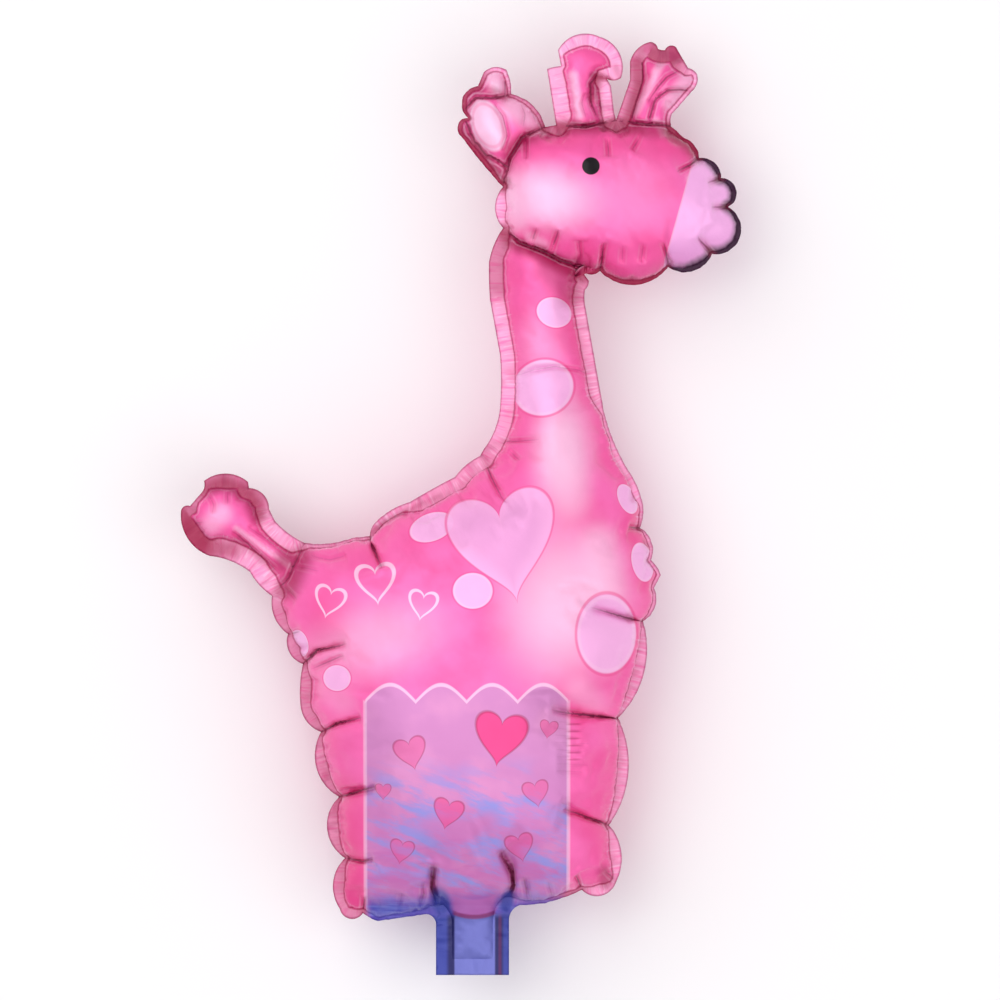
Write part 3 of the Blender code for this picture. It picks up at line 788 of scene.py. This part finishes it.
def creased(film, places, line, lips):
    """The film with the sharp line of each crease pressed in and its lips raised."""
    sizes = film.sizes
    normals = vertex_normals(places, film.triangles)
    near_weld = smooth_step(film.away / CREASE_START)
    press = (LIP_HEIGHT * lips * (1 - line) - line) * sizes.fold_depth * near_weld
    return places + normals * press[:, None]


def balloon_mesh(film, places, marks):
    """The two films and the wall round their edge, as one closed mesh that lies on the floor."""
    sizes = film.sizes
    half_weld = sizes.weld_thickness / 2
    front = places + (0, 0, half_weld)
    back = places * (1, 1, -1) - (0, 0, half_weld)
    vertices = np.vstack([front, back]) + (0, 0, weld_level(sizes))
    vertices[:, 2] = np.maximum(vertices[:, 2], CAD_LOW[2])
    count = len(places)
    triangles = film.triangles
    directed = np.vstack([triangles[:, [0, 1]], triangles[:, [1, 2]], triangles[:, [2, 0]]])
    _, first, uses = np.unique(np.sort(directed, axis=1), axis=0, return_index=True, return_counts=True)
    walls = [(b, a, a + count, b + count) for a, b in directed[first[uses == 1]].tolist()]
    faces = triangles.tolist() + (triangles[:, ::-1] + count).tolist() + walls
    mesh = bpy.data.meshes.new("film_skin")
    mesh.from_pydata(vertices.tolist(), [], faces)
    mesh.shade_smooth()
    for name, values in marks.items():
        mesh.attributes.new(name, "FLOAT", "POINT").data.foreach_set("value", np.tile(values, 2))
    on_weld = np.tile(~film.free & (np.abs(film.away) < ON_LINE), 2)
    pairs = np.empty(len(mesh.edges) * 2, int)
    mesh.edges.foreach_get("vertices", pairs)
    sharp = mesh.attributes.new("sharp_edge", "BOOLEAN", "EDGE")
    sharp.data.foreach_set("value", on_weld[pairs.reshape(-1, 2)].all(axis=1))
    return mesh


class NodeDesk:
    """Adds nodes to a tree, with their settings and inputs in one call, and hands back their sockets."""

    def __init__(self, tree):
        self.tree = tree

    def node(self, kind, inputs=(), **settings):
        made = self.tree.nodes.new(kind)
        for name, value in settings.items():
            setattr(made, name, value)
        for key, value in dict(inputs).items():
            socket = made.inputs[key]
            if isinstance(value, bpy.types.NodeSocket):
                self.tree.links.new(value, socket)
            else:
                socket.default_value = value
        return made

    def out(self, kind, inputs=(), **settings):
        """The first output of an added node."""
        return self.node(kind, inputs, **settings).outputs[0]

    def math(self, operation, *values):
        return self.out("ShaderNodeMath", enumerate(values), operation=operation)

    def product(self, *values):
        found = values[0]
        for value in values[1:]:
            found = self.math("MULTIPLY", found, value)
        return found

    def mix(self, amount, first, second):
        return self.node("ShaderNodeMix", {0: amount, 6: first, 7: second}, data_type="RGBA").outputs[2]

    def ramp(self, value, low, high, to_low=0.0, to_high=1.0):
        """A smooth change from to_low at low to to_high at high."""
        inputs = {0: value, 1: low, 2: high, 3: to_low, 4: to_high}
        return self.out("ShaderNodeMapRange", inputs, interpolation_type="SMOOTHSTEP")

    def band(self, value, low, high, soft):
        """1 between low and high, and 0 outside."""
        above_low = self.ramp(value, low - soft, low + soft)
        return self.product(above_low, self.ramp(value, high + soft, high - soft))

    def line(self, value, half, soft):
        """1 where a value is nearly nought."""
        return self.ramp(self.math("ABSOLUTE", value), half + soft, half)

    def near(self, value, centre, half, soft):
        """1 where a value is nearly its centre."""
        return self.line(self.math("SUBTRACT", value, centre), half, soft)

    def cloud(self, place, scale, detail=3.0, roughness=0.5):
        inputs = {"Vector": place, "Scale": scale, "Detail": detail, "Roughness": roughness}
        return self.node("ShaderNodeTexNoise", inputs).outputs["Fac"]


def group_with_inputs(name, values):
    """An empty geometry tree with a geometry socket in and out and named number inputs."""
    tree = bpy.data.node_groups.new(name, "GeometryNodeTree")
    tree.interface.new_socket("Geometry", in_out="INPUT", socket_type="NodeSocketGeometry")
    for label, value in values.items():
        socket = tree.interface.new_socket(label, in_out="INPUT", socket_type="NodeSocketFloat")
        socket.default_value = value
    tree.interface.new_socket("Material", in_out="INPUT", socket_type="NodeSocketMaterial")
    tree.interface.new_socket("Geometry", in_out="OUTPUT", socket_type="NodeSocketGeometry")
    return tree


def ruffle_and_crimp_tree(values):
    """Waves the weld's edge up and down, and crimps the film across the weld."""
    tree = group_with_inputs("weld_ruffles_and_crimps", values)
    desk = NodeDesk(tree)
    given = tree.nodes.new("NodeGroupInput").outputs

    def read(name):
        return desk.out("GeometryNodeInputNamedAttribute", {"Name": name}, data_type="FLOAT")

    away, along = read("away"), read("along")

    def scatter(pitch, offset):
        place = desk.math("ADD", desk.math("DIVIDE", along, pitch), desk.math("ADD", given["Seed"], offset))
        inputs = {"W": place, "Scale": 1.0, "Detail": 1.0, "Roughness": 0.5}
        noise = desk.out("ShaderNodeTexNoise", inputs, noise_dimensions="1D")
        return desk.math("SUBTRACT", noise, 0.5)

    out = desk.ramp(desk.math("DIVIDE", away, desk.product(given["Weld Width"], -1.0)), 0.0, 1.0)
    lift = desk.product(scatter(given["Ruffle Length"], 0.0), out, given["Ruffle Height"], 4.0)
    lifted = desk.out("ShaderNodeCombineXYZ", {"Z": lift})
    ruffled = desk.out("GeometryNodeSetPosition", {"Geometry": given["Geometry"], "Offset": lifted})

    inward = desk.math("DIVIDE", desk.math("ABSOLUTE", away), given["Crimp Reach"])
    fade = desk.ramp(inward, 1.0, 0.15)
    depth = desk.product(scatter(given["Crimp Length"], 40.0), fade, given["Crimp Depth"], 4.0)
    normal = desk.out("GeometryNodeInputNormal")
    pushed = desk.out("ShaderNodeVectorMath", {0: normal, "Scale": depth}, operation="SCALE")
    height = desk.node("ShaderNodeSeparateXYZ", {0: desk.out("GeometryNodeInputPosition")}).outputs[2]
    off_floor = desk.math("GREATER_THAN", height, 0.0005)
    crimped = desk.out("GeometryNodeSetPosition", {
        "Geometry": ruffled, "Selection": off_floor, "Offset": pushed,
    })
    realized = desk.out("GeometryNodeRealizeInstances", {"Geometry": crimped})
    inked = desk.out("GeometryNodeSetMaterial", {"Geometry": realized, "Material": given["Material"]})
    desk.node("NodeGroupOutput", {"Geometry": inked})
    return tree


def baked_object(name, rough, tree, values):
    """Runs a geometry tree on an object and keeps the result as a plain mesh at the origin."""
    modifier = rough.modifiers.new(tree.name, "NODES")
    modifier.node_group = tree
    for item in tree.interface.items_tree:
        if item.in_out == "INPUT" and item.name in values:
            modifier[item.identifier] = values[item.name]
    mesh = bpy.data.meshes.new_from_object(rough.evaluated_get(bpy.context.evaluated_depsgraph_get()))
    mesh.name = name
    mesh.materials.clear()
    mesh.materials.append(values["Material"])
    bpy.data.objects.remove(rough)
    made = bpy.data.objects.new(name, mesh)
    bpy.context.scene.collection.objects.link(made)
    return made


# The print. Round spots are centre x, centre y, half width, half height and turn in degrees.
PALE_SPOTS = [
    (554, 313, 18, 15, 20), (543, 388, 31, 28, -20), (432, 527, 23, 14, -20), (627, 499, 9, 16, -25),
    (642, 562, 11, 20, -12), (606, 633, 30, 40, 0), (300, 643, 9, 14, -15), (338, 677, 14, 13, 0),
    (473, 590, 20, 18, 0),
]
EYE = (590.5, 167.5, 8.8, 8.8, 0)
# Pale glows, partly the print's soft gradient and partly painted highlight, are laid in the same way, with
# their strength.
GLOWS = [
    (540, 199, 66, 40, 8, 0.78), (372, 640, 84, 44, -15, 0.42), (564, 602, 72, 90, 8, 0.8),
    (562, 452, 36, 74, 0, 0.8), (630, 195, 50, 50, 0, 0.12), (542, 345, 30, 50, 0, 0.25),
]
EAR_LINING = (488, 126, 16, 27, -22)
# The muzzle's inner side, where it stands at MUZZLE_LEVEL_Y and how far it leans for each unit down.
MUZZLE_SIDE_X, MUZZLE_LEVEL_Y, MUZZLE_LEAN = 690.0, 175.0, 0.28
MUZZLE_TOP_Y, MUZZLE_FOOT_Y = 152.0, 288.0
PANEL_LEFT_X, PANEL_RIGHT_X = 366.0, 568.0
PANEL_TOP_Y, PANEL_FOOT_Y = 700.0, 920.0
PANEL_SCALLOPS, SCALLOP_RISE = 4, 17.0
TAB_ROOTS = [(441, 902, 10, 17, -10), (507, 902, 7, 15, 8)]
# Hearts are centre x, centre y, half width, turn in degrees and strength of ink.
LARGE_HEART = (506, 548, 54, -12)
SMALL_HEARTS = [(330, 602, 15, 14), (377, 584, 19, -6), (423, 605, 14, 10)]
PANEL_HEARTS = [
    (412, 752, 16, -14, 0.45), (500, 738, 26, 8, 0.95), (448, 812, 15, 12, 0.6), (536, 792, 13, -10, 0.45),
    (402, 850, 12, 10, 0.4), (520, 846, 14, -12, 0.45), (548, 728, 9, 10, 0.5), (384, 790, 8, 0, 0.5),
]


class PrintAndPaintedLight:
    """The film's colour: its print, with painted shade and painted highlights among the colours that each
    call lays over it.
    """

    def __init__(self, desk, ground):
        self.desk = desk
        self.ink = ground

    def lay(self, ink, *amounts):
        self.ink = self.desk.mix(self.desk.product(*amounts), self.ink, ink[:])


def turned_place(desk, place, centre_x, centre_y, half_x, half_y, degrees):
    """The place on the board as seen from a centre, turned, and measured in half widths."""
    inputs = {"Vector": place, "Location": (centre_x, centre_y, 0), "Rotation": (0, 0, math.radians(degrees)),
              "Scale": (half_x, half_y, 1)}
    return desk.out("ShaderNodeMapping", inputs, vector_type="TEXTURE")


def spot_distance(desk, place, spot):
    """0 at the spot's centre and 1 at its rim."""
    seen = turned_place(desk, place, *spot)
    return desk.node("ShaderNodeVectorMath", {0: seen}, operation="LENGTH").outputs["Value"]


def heart_value(desk, place, centre_x, centre_y, half, degrees):
    """Below nought inside a heart, and above it outside."""
    seen = turned_place(desk, place, centre_x, centre_y, half, -half, degrees)
    x, y, _ = desk.node("ShaderNodeSeparateXYZ", {0: seen}).outputs
    lobe = desk.math("SQRT", desk.math("ABSOLUTE", x))
    height = desk.math("SUBTRACT", desk.math("MULTIPLY_ADD", y, 1.25, 0.29), lobe)
    reach = desk.math("MULTIPLY_ADD", x, x, desk.math("MULTIPLY", height, height))
    return desk.math("SUBTRACT", reach, 1.0)


def lay_spots(sheet, desk, flat, colours):
    for spot in PALE_SPOTS:
        from_centre = spot_distance(desk, flat, spot)
        sheet.lay(colours.spot, desk.ramp(from_centre, 1.02, 0.98))
        sheet.lay(colours.rose, desk.near(from_centre, 1.02, 0.02, 0.05), 0.55)
        sheet.lay(colours.blush, desk.near(from_centre, 0.92, 0.02, 0.06), 0.4)


def lay_panel(sheet, desk, flat, x, y, colours):
    """A scalloped lilac panel with hearts and blue brush strokes. Hands back its blue hem."""
    width = PANEL_RIGHT_X - PANEL_LEFT_X
    across = desk.math("MULTIPLY", desk.math("SUBTRACT", x, PANEL_LEFT_X), PANEL_SCALLOPS * math.pi / width)
    scallop = desk.product(desk.math("ABSOLUTE", desk.math("SINE", across)), -SCALLOP_RISE)
    below = desk.math("SUBTRACT", y, desk.math("ADD", scallop, PANEL_TOP_Y))
    level = desk.band(x, PANEL_LEFT_X, PANEL_RIGHT_X, 1.2)
    panel = desk.product(level, desk.ramp(below, -1.2, 1.2), desk.ramp(y, PANEL_FOOT_Y + 3, PANEL_FOOT_Y - 2))
    down_panel = desk.ramp(y, PANEL_TOP_Y + 30, PANEL_FOOT_Y)
    cloth = PrintAndPaintedLight(desk, desk.mix(down_panel, colours.lilac[:], colours.mauve[:]))
    cloth.lay(colours.margin, desk.ramp(desk.cloud(flat, 0.016), 0.45, 0.7), 0.25)

    def brushed(turn, stroke, breadth):
        return desk.cloud(turned_place(desk, flat, 0, 0, stroke, breadth, turn), 1.0, 4.0, roughness=0.62)

    cloth.lay(colours.mauve, desk.ramp(brushed(-8, 50, 11), 0.5, 0.66), desk.ramp(y, 790.0, 880.0), 0.6)
    patches = desk.ramp(desk.cloud(flat, 0.016, 1.0), 0.40, 0.54)
    strokes = desk.ramp(brushed(20, 60, 17), 0.42, 0.64)
    cloth.lay(colours.sky, strokes, patches, desk.ramp(y, 745.0, 800.0), 0.85)
    cloth.lay(colours.sky, desk.ramp(brushed(12, 36, 8), 0.5, 0.64), desk.ramp(y, 820.0, 905.0), 0.35)
    for *heart, strength in PANEL_HEARTS:
        value = heart_value(desk, flat, *heart)
        cloth.lay(colours.rose, desk.ramp(value, 0.06, -0.06), strength)
        cloth.lay(colours.crimson, desk.line(value, 0.05, 0.12), 0.45)
    sheet.ink = desk.mix(panel, sheet.ink, cloth.ink)
    sheet.lay(colours.blush, desk.line(below, 1.0, 1.6), level, 0.8)
    for side in (PANEL_LEFT_X, PANEL_RIGHT_X):
        down_side = desk.product(desk.near(x, side, 1.0, 1.6), desk.ramp(below, -1.0, 1.0))
        sheet.lay(colours.blush, down_side, desk.ramp(y, 912.0, 900.0), 0.55)
    return desk.product(desk.band(x, PANEL_LEFT_X + 2, PANEL_RIGHT_X - 4, 5.0), desk.ramp(y, 888.0, 908.0))


def lay_face(sheet, desk, flat, x, y, away, colours):
    """The pale muzzle with its painted plum shade at the rim, the ear's lining and the eye."""
    side = MUZZLE_SIDE_X
    nose = desk.math("MULTIPLY_ADD", desk.math("SUBTRACT", y, MUZZLE_LEVEL_Y), MUZZLE_LEAN, x)
    level = desk.band(y, MUZZLE_TOP_Y, MUZZLE_FOOT_Y, 3.0)
    muzzle = desk.product(desk.ramp(nose, side - 2, side + 0.5), level)
    sheet.lay(colours.blush, desk.near(nose, side, 1.0, 1.6), desk.band(y, 160.0, 262.0, 6.0), 0.6)
    sheet.lay(colours.muzzle, muzzle)
    sheet.lay(colours.mauve, muzzle, desk.ramp(y, 222.0, 282.0), 0.65)
    # Painted shade: plum towards the muzzle's rim.
    sheet.lay(colours.plum, muzzle, desk.ramp(away, 0.0034, 0.0), desk.ramp(nose, side, side + 26))
    in_ear = spot_distance(desk, flat, EAR_LINING)
    sheet.lay(colours.blush, desk.ramp(in_ear, 1.10, 0.92), 0.92)
    sheet.lay(colours.rose, desk.near(in_ear, 0.84, 0.02, 0.09), 0.3)
    sheet.lay(colours.ink, desk.ramp(spot_distance(desk, flat, EYE), 1.06, 0.94))
    return desk.product(desk.ramp(nose, side - 2, side + 8), level)


def lay_weld(sheet, desk, mark, crimps, on_muzzle, colours):
    """The pale crimped weld, with painted glints on its crimps and painted shade where the film turns away.
    Hands back what lies off the muzzle.
    """
    away, dark = mark["away"], mark["dark"]
    # Painted reflections: the weld's pale tone streaked towards pink along its crimps.
    tone = desk.mix(desk.ramp(crimps, 0.50, 0.66, 0.0, 0.6), colours.margin[:], colours.pink[:])
    # Painted shade: crimson on the weld by its section's dark share, and plum on the muzzle's weld.
    tone = desk.mix(dark, tone, colours.crimson[:])
    tone = desk.mix(on_muzzle, tone, colours.plum[:])
    sheet.ink = desk.mix(desk.ramp(away, 0.0002, -0.0002), sheet.ink, tone)
    off_muzzle = desk.ramp(on_muzzle, 1.0, 0.0)
    light = desk.product(off_muzzle, desk.ramp(dark, 0.6, 0.1))
    by_weld = desk.band(away, -0.0040, 0.0016, 0.0006)
    # Painted glints: blush on the crimps by the weld, where the weld is not shaded.
    sheet.lay(colours.blush, desk.ramp(crimps, 0.46, 0.36), by_weld, light, 0.5)
    # A painted shadow line along the outer rim.
    sheet.lay(colours.crimson, desk.ramp(mark["rim"], 0.0009, 0.0002), off_muzzle, 0.45)
    # A painted shadow line along the seam, where the film rises from the weld.
    sheet.lay(colours.crimson, desk.line(away, 0.00012, 0.00045), off_muzzle, 0.55)
    # A painted highlight just inside the seam.
    sheet.lay(colours.blush, desk.near(away, 0.0010, 0.0001, 0.0004), off_muzzle, 0.3)
    return off_muzzle


def lay_folds(sheet, desk, mark, x, y, off_muzzle, colours):
    """Painted shade in the folds, a painted shadow line in each crease, painted highlights on its lips, and
    painted shade in the flank's fine wrinkles.
    """
    away, fold_away, fold_depth = mark["away"], mark["fold_away"], mark["fold_depth"]
    # Painted shade in the folds.
    sheet.lay(colours.crimson, mark["deep"], off_muzzle, 0.9)
    # A painted shade halo round each crease.
    sheet.lay(colours.crimson, desk.ramp(fold_away, 0.0030, 0.0), fold_depth, 0.5)
    # Painted shade in the flank's fine wrinkles.
    wrinkles = desk.ramp(desk.math("SINE", desk.product(y, 2 * math.pi / WRINKLE_PITCH)), 0.35, 1.0)
    beside_panel = desk.product(desk.band(x, 567.0, 580.0, 4.0), desk.band(y, 719.0, 762.0, 5.0))
    sheet.lay(colours.crimson, wrinkles, beside_panel, 0.42)
    # Painted highlights on the lips beside each crease.
    lip = desk.near(fold_away, 0.0015, 0.0001, 0.0005)
    sheet.lay(colours.blush, lip, fold_depth, desk.ramp(away, 0.0, 0.0010), 0.3)
    # A painted shadow line in each crease.
    thin = desk.math("SUBTRACT", fold_away, desk.product(fold_depth, 0.00022))
    sheet.lay(colours.shade, desk.ramp(thin, 0.00035, 0.0), desk.ramp(fold_depth, 0.05, 0.9, 0.1, 0.75))


def lay_tab(sheet, desk, flat, x, y, hem, colours):
    """The blue hem, and the blue tab with its darker welded sides."""
    sheet.lay(colours.hem, hem, 0.9)
    stripe_place = desk.out("ShaderNodeMapping", {"Vector": flat, "Scale": (0.02, 0.22, 1)})
    sheet.lay(colours.sky, hem, desk.ramp(desk.cloud(stripe_place, 1.0), 0.45, 0.6), 0.3)
    for patch in TAB_ROOTS:
        sheet.lay(colours.tab_side, desk.ramp(spot_distance(desk, flat, patch), 1.3, 0.5), 0.9)
    on_tab = desk.product(desk.ramp(y, 911.0, 920.0), desk.band(x, 430.0, 515.0, 3.0))
    sheet.lay(colours.tab_side, on_tab)
    sheet.lay(colours.tab_line, on_tab, desk.ramp(x, 445.0, 450.0), 0.85)
    sheet.lay(colours.tab, on_tab, desk.band(x, 454.5, 495.0, 1.0))
    sheet.lay(colours.crimson, on_tab, desk.near(x, 500.0, 0.5, 2.0), 0.22)
    sheet.lay(colours.tab_side, on_tab, desk.ramp(x, 501.0, 505.0), 0.9)
    smile = desk.math("SUBTRACT", x, 474.0)
    smile = desk.math("ADD", y, desk.product(smile, smile, 0.010))
    sheet.lay(colours.mauve, desk.band(smile, 898.0, 915.0, 2.0), desk.band(x, 452.0, 496.0, 4.0), 0.8)
    sheet.lay(colours.crimson, desk.near(smile, 916.5, 1.2, 2.0), desk.band(x, 453.0, 495.0, 2.0), 0.6)


def printed_foil(film, colours):
    """The printed metallised film: inks on Object coordinates with painted shade and painted highlights laid
    over them, and a soft sheen with fine wrinkles.
    """
    material = bpy.data.materials.new("printed_foil")
    material.use_nodes = True
    tree = material.node_tree
    desk = NodeDesk(tree)
    shader = tree.nodes["Principled BSDF"]
    unit = film.unit
    on_board = desk.out("ShaderNodeMapping", {
        "Vector": desk.node("ShaderNodeTexCoord").outputs["Object"],
        "Location": (film.middle[0] / unit, -film.middle[1] / unit, 0),
        "Scale": (1 / unit, -1 / unit, 1 / unit),
    })
    x, y, _ = desk.node("ShaderNodeSeparateXYZ", {0: on_board}).outputs
    flat = desk.out("ShaderNodeCombineXYZ", {0: x, 1: y})
    mark = {
        name: desk.node("ShaderNodeAttribute", attribute_name=name).outputs["Fac"]
        for name in ("away", "along", "fold_away", "fold_depth", "deep", "pale", "rosy", "dark", "rim")
    }
    away = mark["away"]

    mottle = desk.ramp(desk.cloud(flat, 0.02, 4.0), 0.38, 0.72, 0.0, 0.4)
    sheet = PrintAndPaintedLight(desk, desk.mix(mottle, colours.pink[:], colours.rose[:]))
    # Painted shade: deeper pink towards the weld, where the foil turns away.
    sheet.lay(colours.rose, desk.ramp(away, 0.0110, 0.0005), 0.35)
    # Pale glows: partly the print's soft gradient and partly painted highlight.
    for *glow, strength in GLOWS:
        sheet.lay(colours.blush, desk.ramp(spot_distance(desk, flat, glow), 1.25, 0.15), strength)
    # Painted shade in the rosy patches, and painted highlights in the pale ones.
    sheet.lay(colours.rose, mark["rosy"])
    sheet.lay(colours.blush, mark["pale"])
    lay_spots(sheet, desk, flat, colours)
    hem = lay_panel(sheet, desk, flat, x, y, colours)
    large = heart_value(desk, flat, *LARGE_HEART)
    sheet.lay(colours.spot, desk.ramp(large, 0.03, -0.03), 0.9)
    sheet.lay(colours.lilac, desk.ramp(large, 0.0, -0.9), 0.4)
    sheet.lay(colours.rose, desk.line(large, 0.02, 0.05), 0.6)
    for heart in SMALL_HEARTS:
        sheet.lay(colours.blush, desk.line(heart_value(desk, flat, *heart), 0.16, 0.10), 0.9)
    on_muzzle = lay_face(sheet, desk, flat, x, y, away, colours)

    # The crimps' streaks, which bump the film and set the weld's painted glints.
    crimp_place = {0: desk.product(mark["along"], 900.0), 1: desk.product(away, 60.0)}
    crimps = desk.cloud(desk.out("ShaderNodeCombineXYZ", crimp_place), 1.0, 2.0)
    off_muzzle = lay_weld(sheet, desk, mark, crimps, on_muzzle, colours)
    lay_folds(sheet, desk, mark, x, y, off_muzzle, colours)
    lay_tab(sheet, desk, flat, x, y, hem, colours)

    tree.links.new(sheet.ink, shader.inputs["Base Color"])
    shader.inputs["Metallic"].default_value = 0.18
    shader.inputs["Specular IOR Level"].default_value = 0.3
    shader.inputs["Coat Weight"].default_value = 0.12
    shader.inputs["Coat Roughness"].default_value = 0.28
    tree.links.new(desk.ramp(desk.cloud(flat, 0.05), 0.3, 0.7, 0.36, 0.46), shader.inputs["Roughness"])

    hatch = desk.product(crimps, desk.ramp(away, 0.012, 0.001))
    crumple = desk.product(desk.cloud(flat, 0.11, 3.0), 0.3)
    height = desk.math("ADD", hatch, crumple)
    relief = desk.out("ShaderNodeBump", {"Strength": 0.35, "Distance": 0.0005, "Height": height})
    tree.links.new(relief, shader.inputs["Normal"])
    return material


class BALLOON_OT_film(bpy.types.Operator):
    """Cut, weld and fill the printed film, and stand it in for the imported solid"""

    bl_idname = "balloon.film"
    bl_label = "Film skin"

    def execute(self, context):
        sizes, colours = context.scene.balloon_sizes, context.scene.balloon_colours
        rough = Film(sizes, sizes.filling_facet)
        rise = rough.rise()
        places = filled_film(rough, rise)
        film = Film(sizes, sizes.film_facet, sizes.fine_facet)
        line, lips, nearest, depths = film.fold()
        places = creased(film, carried_over(film, rough, places), line, lips)
        # The deep, pale and rosy marks carry painted fold shade, painted highlights and rosy painted shade.
        marks = {"away": film.away, "along": film.along, "fold_away": nearest, "fold_depth": depths,
                 "dark": film.dark, "deep": film.laid_painted_light(FOLD_SHADE), "pale": film.laid_painted_light(PAINTED_HIGHLIGHTS),
                 "rosy": film.laid_painted_light(ROSY_SHADE), "rim": film.rim}
        loose = bpy.data.objects.new("film_rough", balloon_mesh(film, places, marks))
        context.scene.collection.objects.link(loose)
        values = {
            "Ruffle Height": sizes.ruffle_height, "Ruffle Length": sizes.ruffle_length,
            "Weld Width": sizes.flank_weld, "Crimp Depth": sizes.crimp_depth,
            "Crimp Length": sizes.crimp_length, "Crimp Reach": sizes.crimp_reach, "Seed": float(sizes.seed),
        }
        tree = ruffle_and_crimp_tree(values)
        skin = baked_object("film_skin", loose, tree, {**values, "Material": printed_foil(film, colours)})
        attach(skin, BODY)
        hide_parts(NODE)
        return {"FINISHED"}


def soft_light(name, place, size, power):
    """A round soft light that looks at the balloon."""
    lamp = bpy.data.lights.new(name, "AREA")
    lamp.shape = "DISK"
    lamp.size = size
    lamp.energy = power
    holder = bpy.data.objects.new(name, lamp)
    bpy.context.scene.collection.objects.link(holder)
    holder.location = place
    holder.rotation_euler = (-Vector(place)).to_track_quat("-Z", "Y").to_euler()


class BALLOON_OT_stage(bpy.types.Operator):
    """Lay the pale floor, hang the soft lights and set the camera straight above"""

    bl_idname = "balloon.stage"
    bl_label = "Floor, lights and camera"

    def execute(self, context):
        scene = context.scene
        sizes, colours = scene.balloon_sizes, scene.balloon_colours
        bpy.ops.mesh.primitive_plane_add(size=FLOOR_SIZE)
        floor = context.object
        floor.name = "studio_floor"
        paint = bpy.data.materials.new("studio_floor")
        paint.use_nodes = True
        shader = paint.node_tree.nodes["Principled BSDF"]
        shader.inputs["Base Color"].default_value = colours.floor[:]
        shader.inputs["Roughness"].default_value = 0.85
        floor.data.materials.append(paint)

        world = bpy.data.worlds.new("studio")
        scene.world = world
        world.use_nodes = True
        sky = world.node_tree.nodes["Background"].inputs
        sky["Color"].default_value = (1.0, 0.98, 1.0, 1)
        sky["Strength"].default_value = 0.52
        for light in LIGHTS:
            soft_light(*light)

        unit = board_unit(sizes)
        edge, _, _ = edge_loop(sizes, sizes.film_facet)
        middle = (edge.min(axis=0) + edge.max(axis=0)) / 2
        aim = np.array(BOARD_PICTURE_MIDDLE) * (unit, -unit) - middle
        lens = bpy.data.cameras.new("camera")
        lens.lens = CAMERA_LENS
        camera = bpy.data.objects.new("camera", lens)
        distance = BOARD_PICTURE_WIDTH * unit * lens.lens / lens.sensor_width
        camera.location = (aim[0], aim[1], weld_level(sizes) + distance)
        scene.collection.objects.link(camera)
        scene.camera = camera
        scene.view_settings.view_transform = "Standard"
        return {"FINISHED"}


class BALLOON_PT_panel(bpy.types.Panel):
    """The balloon's sizes, colours and makers"""

    bl_idname = "BALLOON_PT_panel"
    bl_label = "Giraffe balloon"
    bl_space_type = "VIEW_3D"
    bl_region_type = "UI"
    bl_category = "Balloon"

    def draw(self, context):
        for group in (context.scene.balloon_sizes, context.scene.balloon_colours):
            box = self.layout.box()
            for name in group.__annotations__:
                box.prop(group, name)
        for operator in OPERATORS:
            self.layout.operator(operator.bl_idname)


OPERATORS = (BALLOON_OT_film, BALLOON_OT_stage)
CLASSES = (BalloonSizes, BalloonColours, *OPERATORS, BALLOON_PT_panel)


def register():
    for part in CLASSES:
        bpy.utils.register_class(part)
    bpy.types.Scene.balloon_sizes = PointerProperty(type=BalloonSizes)
    bpy.types.Scene.balloon_colours = PointerProperty(type=BalloonColours)


def unregister():
    del bpy.types.Scene.balloon_colours
    del bpy.types.Scene.balloon_sizes
    for part in reversed(CLASSES):
        bpy.utils.unregister_class(part)


def main():
    register()
    bpy.ops.balloon.film()
    bpy.ops.balloon.stage()


if __name__ == "__main__":
    main()
